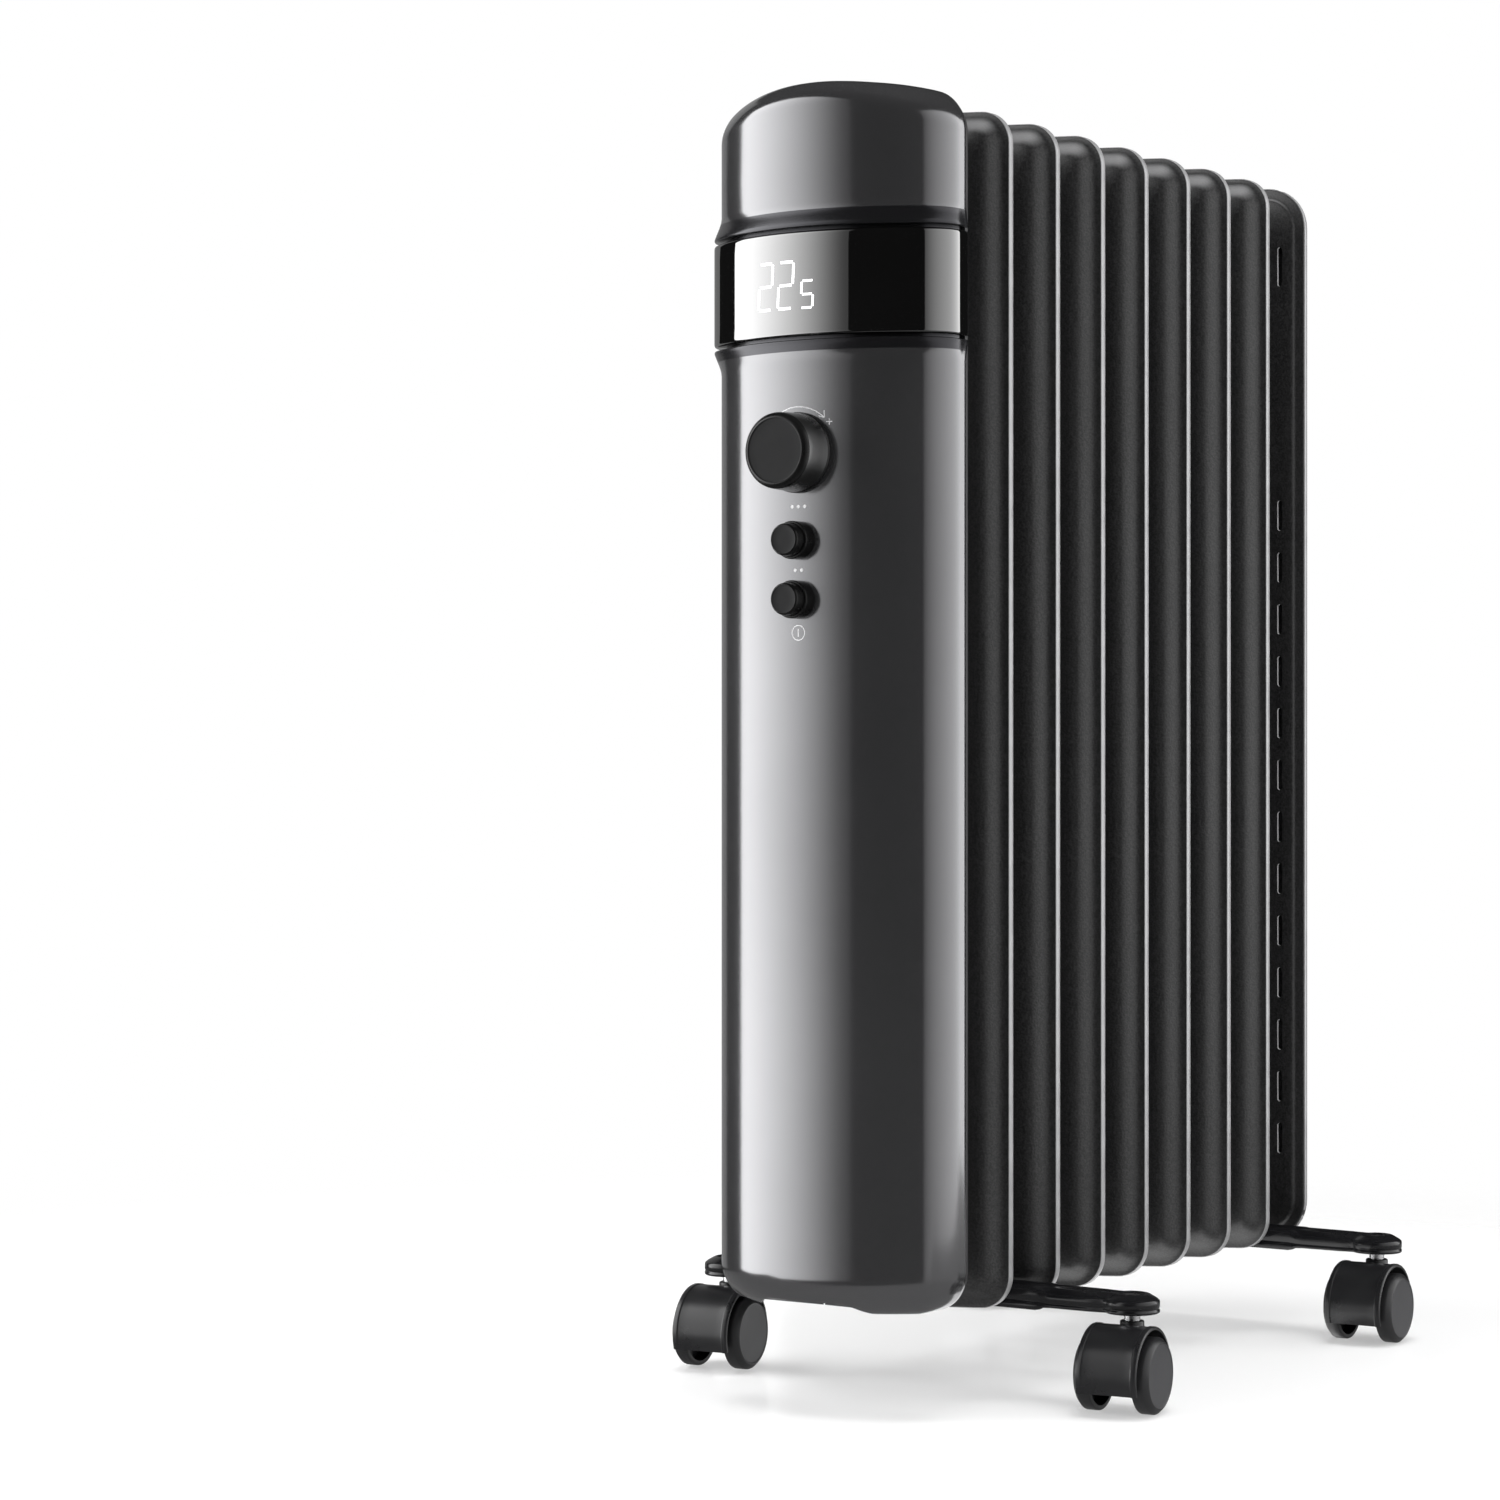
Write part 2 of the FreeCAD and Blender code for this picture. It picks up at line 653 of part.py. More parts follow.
def make_mounting_plate():
    """Back plate that carries the housing and the electronics, held off the core by the two headers."""
    body = new_body("PlateForm")
    outline = upright_outline(body, "PlateOutline", size("plate_inset"), size("cap_round"), HOUSING_EXTENT)
    pad(body, outline, "PlatePad", "Size.plate_thick")
    put(body, (0, "Size.back_y + Size.plate_thick / 2", 0))
    posts = []
    for sign in (-1, 1):
        for height in (250, 350):
            posts.append(rod(f"BoardPost{sign + 1}_{height}", "Size.board_post_radius", "Size.board_post",
                             (sign * 34, "Size.back_y - Size.board_post", height), ALONG_Y))
    solid = fuse("PlatePosted", body, *posts)
    low = "Size.element_low + Size.header_inset"
    high = "Size.element_high - Size.header_inset"
    tools = [
        rod("PlateHeaterHole", "Size.sleeve_bore", 30, (0, "Size.back_y - 10", low), ALONG_Y),
        rod("PlateHeaderHole", "Size.header_bolt_radius", 30, (0, "Size.back_y - 10", high), ALONG_Y),
        arch_cutter("PlateArch"),
    ]
    for label, height in SCREW_HEIGHTS.items():
        tools += screw_bores("PlateBore_" + label, height)
    keep("mounting_plate", cut("MountingPlate", solid, *tools))


def make_screws():
    """Pan-head screws that hold the housing, and the one in the arch under it."""
    screws = []
    for label, height in SCREW_HEIGHTS.items():
        for sign in (-1, 1):
            across = f"{sign} * Size.screw_x"
            shank = rod(f"Shank_{label}{sign + 1}", "Size.screw_radius", "Size.screw_length",
                        (across, "Size.back_y + Size.plate_thick - Size.screw_length", height), ALONG_Y)
            head = cone(f"Head_{label}{sign + 1}", "Size.screw_head_radius", "Size.screw_head_radius - 1",
                        "Size.screw_head_height", (across, "Size.back_y + Size.plate_thick", height), ALONG_Y)
            screws.append(fuse(f"Screw_{label}{sign + 1}", shank, head))
    foot_y = front_y("-Size.foot_screw_back")
    under = "Size.housing_low + Size.arch_height - 0.4"
    shank = rod("FootShank", "Size.foot_screw_radius", 6, (0, foot_y, under))
    head = cone("FootHead", "Size.foot_screw_radius + 0.6", "2 * Size.foot_screw_radius", 1.8,
                (0, foot_y, f"{under} - 1.8"))
    screws.append(fuse("FootScrew", shank, head))
    keep("housing_screws", group("HousingScrews", *screws))


def make_knob():
    """Knob pressed on the shaft of an endless rotary encoder."""
    start = front_y("Size.knob_gap + Size.knob_length")
    board = "Size.back_y - Size.board_y"
    skirt = cone("KnobSkirt", "Size.knob_front_radius", "Size.knob_radius", "Size.knob_length - 2",
                 (0, f"{start} + 2", "Size.knob_z"), ALONG_Y)
    face = cone("KnobFace", "Size.knob_front_radius - Size.knob_chamfer", "Size.knob_front_radius", 2,
                (0, start, "Size.knob_z"), ALONG_Y)
    hollow = rod("KnobHollow", "Size.knob_bore", 14, (0, f"{start} + 8", "Size.knob_z"), ALONG_Y)
    hub = rod("KnobHub", "Size.knob_hub_radius", "Size.knob_length - 6",
              (0, f"{start} + 4", "Size.knob_z"), ALONG_Y)
    bore = rod("KnobBore", "Size.shaft_radius", "Size.knob_length - 4",
               (0, f"{start} + 6", "Size.knob_z"), ALONG_Y)
    dish = cut("KnobDish", fuse("KnobBlank", skirt, face), hollow)
    keep("knob", cut("Knob", fuse("KnobHubbed", dish, hub), bore))
    keep("encoder_shaft", rod("EncoderShaft", "Size.shaft_radius", f"({board} - 3) - ({start} + 6)",
                              (0, f"{start} + 6", "Size.knob_z"), ALONG_Y))
    can = box("EncoderCan", 14, 7, 14, (0, f"{board} - 3.5", "Size.knob_z"))
    bush = rod("EncoderBush", "Size.shaft_radius + 0.5", 6, (0, f"{board} - 13", "Size.knob_z"), ALONG_Y)
    shaft_bore = rod("EncoderBore", "Size.shaft_radius + Size.socket_gap", 30,
                     (0, f"{board} - 33", "Size.knob_z"), ALONG_Y)
    floor_of_can = box("EncoderFloor", 12, 3, 12, (0, f"{board} - 1.5", "Size.knob_z"))
    bored = cut("EncoderBored", fuse("EncoderBlank", can, bush), shaft_bore)
    keep("encoder_body", fuse("EncoderBody", bored, floor_of_can))


def make_buttons():
    """Two push buttons in bezels, each on a tact switch that returns it."""
    board = "Size.back_y - Size.board_y"
    start = front_y("Size.button_length")
    bezels = []
    switches = []
    for label in ("mode", "power"):
        height = f"Size.{label}_z"
        tube = rod(f"BezelTube_{label}", "Size.bezel_radius", "Size.bezel_length + 5.4",
                   (0, front_y("Size.bezel_length"), height), ALONG_Y)
        flange = rod(f"BezelFlange_{label}", "Size.bezel_flange_radius", 1.2,
                     (0, front_y(-4.4), height), ALONG_Y)
        inside = rod(f"BezelBore_{label}", "Size.button_radius + Size.running_gap", 40,
                     (0, front_y(20), height), ALONG_Y)
        bezels.append(cut(f"Bezel_{label}", fuse(f"BezelBlank_{label}", tube, flange), inside))
        cap = rod(f"ButtonCap_{label}", "Size.button_radius", "Size.button_length + 1.5",
                  (0, f"{start} + Size.button_chamfer", height), ALONG_Y)
        face = cone(f"ButtonFace_{label}", "Size.button_radius - Size.button_chamfer", "Size.button_radius",
                    "Size.button_chamfer", (0, start, height), ALONG_Y)
        plunger = rod(f"ButtonPlunger_{label}", "Size.plunger_radius", "Size.button_length + 6.5",
                      (0, f"{start} + 1", height), ALONG_Y)
        keep(f"{label}_button", fuse(f"Button_{label}", cap, face, plunger))
        case = box(f"SwitchCase_{label}", 6, 3.5, 6, (0, f"{board} - 1.75", height))
        tip = rod(f"SwitchTip_{label}", "Size.plunger_radius - 0.25", 4.6,
                  (0, f"{board} - 4.6", height), ALONG_Y)
        switches.append(fuse(f"Switch_{label}", case, tip))
    keep("button_bezels", group("ButtonBezels", *bezels))
    keep("tact_switches", group("TactSwitches", *switches))


def make_control_board():
    """Board behind the controls, and the display behind its band."""
    board = "Size.back_y - Size.board_y"
    keep("control_board", box("ControlBoard", 60, "Size.board_thick", 150,
                              (0, f"{board} + Size.board_thick / 2", 442)))
    middle = "(Size.band_low + Size.band_high) / 2"
    display = box("DisplayCan", 66, 8, 34, (0, f"{board} - 1", middle))
    pins = box("DisplayPins", 50, 3, 4, (0, f"{board} + 4", f"{middle} - 15"))
    keep("display_module", fuse("DisplayModule", display, pins))


def make_electrics():
    """Power side, on the back plate: relay board, safety devices, terminals and the cord's inlet."""
    board_back = "Size.back_y - Size.board_post"
    board_face = f"{board_back} - Size.board_thick"
    board = box("PowerBoardSheet", 84, "Size.board_thick", 124,
                (0, f"{board_back} - Size.board_thick / 2", 300))
    coil = box("TransformerCore", 26, 12, 22, (22, f"{board_face} - 6", 335))
    capacitor = rod("Capacitor", 6, 14, (-24, f"{board_face} - 14", 338), ALONG_Y)
    keep("power_board", fuse("PowerBoard", board, coil, capacitor))
    relays = []
    for sign in (-1, 1):
        relays.append(box(f"Relay{sign + 1}", 16, 14, 20, (sign * 18, f"{board_face} - 7", 275)))
    keep("relays", group("Relays", *relays))

    disc = rod("CutoutDisc", 8, 6, (-38, "Size.back_y - 7", "Size.safety_z"), ALONG_Y)
    foot = box("CutoutFoot", 24, 1, 8, (-38, "Size.back_y - 0.5", "Size.safety_z"))
    keep("thermal_cutout", fuse("ThermalCutout", disc, foot))
    keep("tip_over_switch", box("TipOverSwitch", 20, 14, 24, (36, "Size.back_y - 7", "Size.safety_z")))
    block = box("TerminalBody", 34, 13, 16, ("Size.terminal_x", "Size.back_y - 6.5", "Size.terminal_z"))
    wells = []
    for index in (-1, 0, 1):
        wells.append(rod(f"TerminalWell{index + 1}", 2.2, 8,
                         (f"Size.terminal_x + {10 * index}", "Size.back_y - 14", "Size.terminal_z"), ALONG_Y))
    keep("terminal_block", cut("TerminalBlock", block, *wells))


def make_cable_gland():
    """The cord's inlet: a gland through the housing's floor, facing down, with its nut inside."""
    flange_low = "Size.gland_seat - 3"
    nose_low = "Size.gland_seat - 9"
    flange = gland_rod("GlandFlange", "Size.gland_flange_radius", 3, flange_low)
    nose = cone("GlandNose", 7, 9, 6, ("Size.gland_x", GLAND_Y, nose_low))
    neck = gland_rod("GlandNeck", "Size.gland_neck", "Size.gland_length - 9", "Size.gland_seat")
    nut = gland_rod("GlandNut", "Size.gland_neck + 2.5", 4, INNER_FLOOR)
    hole = gland_rod("GlandHole", "Size.lead_radius", 40, f"{nose_low} - 5")
    keep("cable_gland", cut("CableGland", fuse("GlandBlank", flange, nose, neck, nut), hole))


def bar_form(name, shrink, low, inner_low, high):
    """Foot bar seen from above: broad under the core, necked, with a round paddle at each end."""
    shapes = [
        box(name + "_core", f"2 * (Size.bar_inner_half - {shrink})", f"2 * (Size.bar_half_width - {shrink})",
            f"({high}) - ({inner_low})", (0, 0, f"(({high}) + ({inner_low})) / 2")),
        box(name + "_neck", "2 * Size.stem_x", f"2 * (Size.neck_half_width - {shrink})",
            f"({high}) - ({low})", (0, 0, f"(({high}) + ({low})) / 2")),
    ]
    for sign in (-1, 1):
        shapes.append(rod(f"{name}_paddle{sign + 1}", f"Size.paddle_radius - {shrink}",
                          f"({high}) - ({low})", (f"{sign} * Size.stem_x", 0, low)))
    return fuse(name, *shapes)


def make_feet():
    """Two channel-section bars, clamped to the lower header by U-bolts with wing nuts."""
    outer = bar_form("BarOuter", 0, "Size.bar_low", "Size.bar_low - 1.5", "Size.bar_top")
    inner = bar_form("BarInner", size("bar_wall"), "Size.bar_low - 5", "Size.bar_low - 5",
                     "Size.bar_top - Size.bar_wall")
    leg_x = "Size.header_radius + Size.bolt_radius + Size.bolt_gap"
    holes = []
    for sign in (-1, 1):
        holes.append(rod(f"LegHole{sign + 1}", "Size.bolt_radius + Size.bolt_gap", 20,
                         (f"{sign} * ({leg_x})", 0, "Size.bar_low")))
        holes.append(rod(f"StemHole{sign + 1}", "Size.stem_radius + 0.6", 20,
                         (f"{sign} * Size.stem_x", 0, "Size.bar_low")))
    bar = cut("BarBlank", outer, inner, *holes)
    header_z = "Size.element_low + Size.header_inset"
    arch = doc.addObject("Part::Torus", "BoltArch")
    bind(arch, Radius1=leg_x, Radius2="Size.bolt_radius", Angle3=180)
    put(arch, (0, 0, header_z), Rotation(Vector(1, 0, 0), 90))
    legs = []
    for sign in (-1, 1):
        legs.append(rod(f"BoltLeg{sign + 1}", "Size.bolt_radius", f"{header_z} - 45.2",
                        (f"{sign} * ({leg_x})", 0, 45.2)))
    bolt = fuse("BoltBlank", arch, *legs)
    hub = rod("NutHub", 5, 6, (0, 0, "Size.bar_top - Size.bar_wall - 6"))
    wing = box("NutWing", 20, 2, 5, (0, 0, "Size.bar_top - Size.bar_wall - 5.5"))
    eye = rod("NutEye", "Size.bolt_radius", 40, (0, 0, 30))
    nut = cut("NutBlank", fuse("NutForm", hub, wing), eye)
    bolts = []
    nuts = []
    for label in ("front", "rear"):
        along = f"Size.back_y + Size.{label}_bar_y"
        keep(f"{label}_foot_bar", clone(f"FootBar_{label}", bar, (0, along, 0)))
        bolts.append(clone(f"UBolt_{label}", bolt, (0, along, 0)))
        for sign in (-1, 1):
            nuts.append(clone(f"WingNut_{label}{sign + 1}", nut, (f"{sign} * ({leg_x})", along, 0)))
    keep("u_bolts", group("UBolts", *bolts))
    keep("wing_nuts", group("WingNuts", *nuts))


def make_caster_forms():
    """The four caster pieces about the swivel axis, trailing towards -Y."""
    centre = ("-Size.trail", "Size.wheel_radius")

    def across(start):
        return (start, centre[0], centre[1])

    drum = rod("HoodDrum", "Size.hood_radius", "2 * Size.hood_half_width",
               across("-Size.hood_half_width"), ALONG_X)
    wells = []
    for sign in (-1, 1):
        start = "Size.web_half" if sign > 0 else "-Size.web_half - 30"
        wells.append(rod(f"HoodWell{sign + 1}", "Size.hood_radius - Size.hood_skin", 30,
                         across(start), ALONG_X))
    under = box("HoodUnder", 80, 80, 40, (0, "-Size.trail", "Size.hood_low - 20"))
    shell = cut("HoodShell", drum, *wells, under)
    socket = rod("HoodSocket", "Size.collar_radius", "Size.collar_top - 20", (0, 0, 20))
    axle_boss = rod("HoodAxleBoss", "Size.hub_radius", "2 * (Size.hub_inner - 0.4)",
                    across("-(Size.hub_inner - 0.4)"), ALONG_X)
    bore = rod("HoodBore", "Size.stem_radius + Size.socket_gap", 30, (0, 0, 24))
    axle_hole = rod("HoodAxleHole", "Size.axle_radius", 60, across(-30), ALONG_X)
    hood = cut("HoodForm", fuse("HoodSolid", shell, socket, axle_boss), bore, axle_hole)

    half_axle = "(Size.wheel_outer - 1.6)"
    ends = [
        cone("AxleEnd0", "Size.axle_radius - 0.4", "Size.axle_radius", 0.4,
             across(f"-{half_axle}"), ALONG_X),
        cone("AxleEnd1", "Size.axle_radius", "Size.axle_radius - 0.4", 0.4,
             across(f"{half_axle} - 0.4"), ALONG_X),
    ]
    straight = rod("AxleRod", "Size.axle_radius", f"2 * {half_axle} - 0.8",
                   across(f"0.4 - {half_axle}"), ALONG_X)
    axle = fuse("AxleForm", straight, *ends)

    tread = rod("WheelTread", "Size.wheel_radius", "Size.wheel_outer - Size.wheel_inner - Size.wheel_chamfer",
                across("Size.wheel_inner"), ALONG_X)
    face = cone("WheelFace", "Size.wheel_radius", "Size.wheel_radius - Size.wheel_chamfer",
                "Size.wheel_chamfer", across("Size.wheel_outer - Size.wheel_chamfer"), ALONG_X)
    dish = rod("WheelDish", "Size.wheel_radius - 2.6", "Size.wheel_outer - Size.wheel_inner - 2.4",
               across("Size.wheel_inner"), ALONG_X)
    hub = rod("WheelHub", "Size.hub_radius", "Size.wheel_outer - Size.hub_inner - 1.5",
              across("Size.hub_inner"), ALONG_X)
    hole = rod("WheelHole", "Size.axle_radius + Size.socket_gap", "Size.wheel_outer - 6.3",
               across(5), ALONG_X)
    rim = cut("WheelRim", fuse("WheelBlank", tread, face), dish)
    wheel = cut("WheelForm", fuse("WheelHubbed", rim, hub), hole)
    return hood, axle, wheel


def make_casters():
    """Four twin-wheel casters: stem fixed in the bar, hood and axle swivel, two wheels spin."""
    hood, axle, wheel = make_caster_forms()
    stems = []
    nuts = []
    hexagon = doc.addObject("Part::Prism", "HexForm")
    bind(hexagon, Polygon=6, Circumradius=7.5, Height=5)
    put(hexagon, (0, 0, "Size.bar_top - Size.bar_wall - 5"))
    nut_hole = rod("HexHole", "Size.stem_radius", 40, (0, 0, 30))
    hex_nut = cut("HexNut", hexagon, nut_hole)
    shank = rod("StemShank", "Size.stem_radius", "Size.bar_top - Size.bar_wall + 0.8 - 25.3", (0, 0, 25.3))
    point = cone("StemPoint", "Size.stem_radius - 0.8", "Size.stem_radius", 0.8, (0, 0, 24.5))
    stem = fuse("StemForm", shank, point)
    for corner, (side, bar, heading) in CASTERS.items():
        place = (f"{side} * Size.stem_x", f"Size.back_y + Size.{bar}", 0)
        turn = Rotation(Vector(0, 0, 1), heading)
        stems.append(clone(f"Stem_{corner}", stem, place))
        nuts.append(clone(f"StemNut_{corner}", hex_nut, place))
        keep(f"caster_hood_{corner}", clone(f"Hood_{corner}", hood, place, turn))
        keep(f"caster_axle_{corner}", clone(f"Axle_{corner}", axle, place, turn))
        keep(f"wheel_{corner}_right", clone(f"WheelA_{corner}", wheel, place, turn))
        # The other wheel is the same wheel turned half round about the vertical line through the axle.
        reach = 2 * size("trail")
        angle = math.radians(heading)
        other = (f"{side} * Size.stem_x + {reach * math.sin(angle)}",
                 f"Size.back_y + Size.{bar} - {reach * math.cos(angle)}", 0)
        half_turn = Rotation(Vector(0, 0, 1), heading + 180)
        keep(f"wheel_{corner}_left", clone(f"WheelB_{corner}", wheel, other, half_turn))
    keep("caster_stems", group("CasterStems", *stems))
    keep("stem_nuts", group("StemNuts", *nuts))


def check_document():
    """Stop on any failed object or empty or invalid shape."""
    for item in doc.Objects:
        if "Invalid" in item.State or "Error" in item.State:
            raise RuntimeError(f"{item.Name} failed: {item.State}")
    for node, item in parts.items():
        shape = item.Shape
        if shape.isNull() or not shape.isValid() or not shape.Solids:
            raise RuntimeError(f"{node} has no valid solid")


def export_parts():
    os.makedirs("parts", exist_ok=True)
    for node, item in parts.items():
        item.Shape.exportStep(f"parts/{node}.step")
        print(f"{node}: {len(item.Shape.Solids)} solid(s), {item.Shape.Volume / 1000:.1f} cm3")


def main():
    fill_sheet()
    make_elements()
    make_header_caps()
    make_immersion_heater()
    make_rear_cover()
    make_housing()
    make_mounting_plate()
    make_screws()
    make_knob()
    make_buttons()
    make_control_board()
    make_electrics()
    make_cable_gland()
    make_feet()
    make_casters()
    doc.recompute()
    check_document()
    export_parts()


main()
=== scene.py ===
import json
import math

import bmesh
import bpy
from mathutils import Matrix, Vector


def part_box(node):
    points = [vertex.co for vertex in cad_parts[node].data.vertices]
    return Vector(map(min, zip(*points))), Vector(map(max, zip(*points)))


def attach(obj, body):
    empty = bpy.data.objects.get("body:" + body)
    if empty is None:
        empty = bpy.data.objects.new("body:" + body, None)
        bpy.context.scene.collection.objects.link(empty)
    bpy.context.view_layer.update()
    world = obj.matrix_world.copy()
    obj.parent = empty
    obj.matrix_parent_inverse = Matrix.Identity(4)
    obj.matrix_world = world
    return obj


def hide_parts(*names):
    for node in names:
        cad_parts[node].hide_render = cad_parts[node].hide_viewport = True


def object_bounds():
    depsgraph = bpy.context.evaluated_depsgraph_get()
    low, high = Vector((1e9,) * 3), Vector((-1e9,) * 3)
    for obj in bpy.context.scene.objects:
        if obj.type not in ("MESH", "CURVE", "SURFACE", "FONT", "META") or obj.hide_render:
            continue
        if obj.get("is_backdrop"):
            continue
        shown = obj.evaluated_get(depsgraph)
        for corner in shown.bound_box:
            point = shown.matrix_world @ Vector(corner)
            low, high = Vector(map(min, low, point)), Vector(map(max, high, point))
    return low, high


# Oil filled radiator heater: seven pressed elements between a control housing and a slotted rear cover,
# on two foot bars with four twin-wheel casters.

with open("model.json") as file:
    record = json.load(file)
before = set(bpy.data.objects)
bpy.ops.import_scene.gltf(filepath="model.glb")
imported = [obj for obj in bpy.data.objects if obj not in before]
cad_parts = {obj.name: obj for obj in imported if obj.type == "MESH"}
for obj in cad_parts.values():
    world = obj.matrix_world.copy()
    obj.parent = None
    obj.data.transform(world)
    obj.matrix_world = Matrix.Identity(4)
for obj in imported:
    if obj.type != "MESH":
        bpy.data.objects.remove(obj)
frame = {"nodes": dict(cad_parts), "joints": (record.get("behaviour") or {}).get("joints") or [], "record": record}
cad_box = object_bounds()
joints = {joint["name"]: joint for joint in frame["joints"]}

MM = 0.001


# Meshes. Every shape is given in millimetres in the frame's axes.


def add_mesh(name, points, faces, material, smooth=True):
    """New object with one cleaned mesh and one material."""
    mesh = bpy.data.meshes.new(name)
    mesh.from_pydata([[value * MM for value in point] for point in points], [], faces)
    mesh.validate()
    work = bmesh.new()
    work.from_mesh(mesh)
    bmesh.ops.remove_doubles(work, verts=work.verts, dist=1e-6)
    bmesh.ops.recalc_face_normals(work, faces=work.faces)
    work.to_mesh(mesh)
    work.free()
    mesh.polygons.foreach_set("use_smooth", [smooth] * len(mesh.polygons))
    mesh.materials.append(material)
    piece = bpy.data.objects.new(name, mesh)
    bpy.context.scene.collection.objects.link(piece)
    return piece


def loft(rings, closed=True, cap_first=False, cap_last=False):
    """Points and faces of a skin over rings with equal counts."""
    count = len(rings[0])
    points = [point for ring in rings for point in ring]
    faces = []
    for row in range(len(rings) - 1):
        for column in range(count if closed else count - 1):
            a = row * count + column
            b = row * count + (column + 1) % count
            faces.append((a, b, b + count, a + count))
    if cap_first:
        faces.append(tuple(range(count)))
    if cap_last:
        faces.append(tuple(range(len(points) - count, len(points))))
    return points, faces


def join_skins(*skins):
    """Several (points, faces) skins as one."""
    points, faces = [], []
    for skin_points, skin_faces in skins:
        offset = len(points)
        points += skin_points
        faces += [tuple(index + offset for index in face) for face in skin_faces]
    return points, faces


def lathe(profile, place, count=64, sweep=(0, 360)):
    """Turn (distance along the axis, radius) pairs about an axis. The function place maps
    (along, across, up) to a point."""
    full = abs(sweep[1] - sweep[0] - 360) < 1e-6
    steps = count if full else count + 1
    rings = []
    for along, radius in profile:
        ring = []
        for step in range(steps):
            angle = math.radians(sweep[0] + (sweep[1] - sweep[0]) * step / count)
            ring.append(place(along, radius * math.cos(angle), radius * math.sin(angle)))
        rings.append(ring)
    return loft(rings, closed=full)


def sharpen(piece, degrees=35):
    """Keep creases crisp: mark edges steeper than the limit as sharp."""
    work = bmesh.new()
    work.from_mesh(piece.data)
    for edge in work.edges:
        if len(edge.link_faces) == 2:
            edge.smooth = edge.calc_face_angle() < math.radians(degrees)
    work.to_mesh(piece.data)
    work.free()
    return piece


def finish_piece(piece, body, slot, *nodes):
    """Let a piece ride on its body in place of the nodes that it replaces; the slot argument is not used."""
    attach(piece, body)
    if nodes:
        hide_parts(*nodes)
    return piece


def smoothstep(low, high, value):
    """Smooth rise from 0 at low to 1 at high."""
    t = min(max((value - low) / (high - low), 0), 1)
    return t * t * (3 - 2 * t)


# Materials


def surface(name, dark, light, roughness, metallic=0.0, scale=40.0, grain=0.0, grain_scale=1800.0,
            spread=0.06, coat=0.0, coat_roughness=0.05, ior=1.5, stretch=(1, 1, 1),
            speckled=False, top_highlight=None):
    """Base colour between two tones, uneven roughness and fine grain, all from noise in object space.
    A speckled surface takes its tones from the fine grain instead of the broad cloud, and the optional last tone
    is a painted highlight: a lighter tone mixed in where the surface faces up, standing in for light from above."""
    material = bpy.data.materials.new(name)
    material.use_nodes = True
    nodes = material.node_tree.nodes
    links = material.node_tree.links
    shader = nodes["Principled BSDF"]
    shader.inputs["Metallic"].default_value = metallic
    shader.inputs["IOR"].default_value = ior
    shader.inputs["Coat Weight"].default_value = coat
    shader.inputs["Coat Roughness"].default_value = coat_roughness
    place = nodes.new("ShaderNodeTexCoord")
    mapping = nodes.new("ShaderNodeMapping")
    mapping.inputs["Scale"].default_value = stretch
    links.new(place.outputs["Object"], mapping.inputs["Vector"])

    cloud = nodes.new("ShaderNodeTexNoise")
    cloud.inputs["Scale"].default_value = scale
    cloud.inputs["Detail"].default_value = 5
    links.new(mapping.outputs["Vector"], cloud.inputs["Vector"])
    tone = nodes.new("ShaderNodeValToRGB")
    tone.color_ramp.elements[0].position = 0.35
    tone.color_ramp.elements[0].color = (*dark, 1)
    tone.color_ramp.elements[1].position = 0.68
    tone.color_ramp.elements[1].color = (*light, 1)
    # Painted highlight: a lighter tone where the surface faces up, standing in for the overhead light.
    if top_highlight:
        facing = nodes.new("ShaderNodeSeparateXYZ")
        links.new(place.outputs["Normal"], facing.inputs["Vector"])
        top_lit = nodes.new("ShaderNodeMapRange")
        top_lit.interpolation_type = "SMOOTHSTEP"
        top_lit.inputs["From Min"].default_value = 0.25
        top_lit.inputs["From Max"].default_value = 0.8
        links.new(facing.outputs["Z"], top_lit.inputs["Value"])
        cover = nodes.new("ShaderNodeMix")
        cover.data_type = "RGBA"
        cover.inputs["B"].default_value = (*top_highlight, 1)
        links.new(top_lit.outputs["Result"], cover.inputs["Factor"])
        links.new(tone.outputs["Color"], cover.inputs["A"])
        links.new(cover.outputs["Result"], shader.inputs["Base Color"])
    else:
        links.new(tone.outputs["Color"], shader.inputs["Base Color"])
    if not speckled:
        links.new(cloud.outputs["Fac"], tone.inputs["Fac"])

    polish = nodes.new("ShaderNodeMapRange")
    polish.inputs["From Min"].default_value = 0.3
    polish.inputs["From Max"].default_value = 0.7
    polish.inputs["To Min"].default_value = max(roughness - spread, 0.02)
    polish.inputs["To Max"].default_value = roughness + spread
    links.new(cloud.outputs["Fac"], polish.inputs["Value"])
    links.new(polish.outputs["Result"], shader.inputs["Roughness"])

    if grain > 0:
        speck = nodes.new("ShaderNodeTexNoise")
        speck.inputs["Scale"].default_value = grain_scale
        speck.inputs["Detail"].default_value = 2
        links.new(mapping.outputs["Vector"], speck.inputs["Vector"])
        bump = nodes.new("ShaderNodeBump")
        bump.inputs["Strength"].default_value = grain
        bump.inputs["Distance"].default_value = 0.0002
        links.new(speck.outputs["Fac"], bump.inputs["Height"])
        if speckled:
            links.new(speck.outputs["Fac"], tone.inputs["Fac"])
        links.new(bump.outputs["Normal"], shader.inputs["Normal"])
    return material


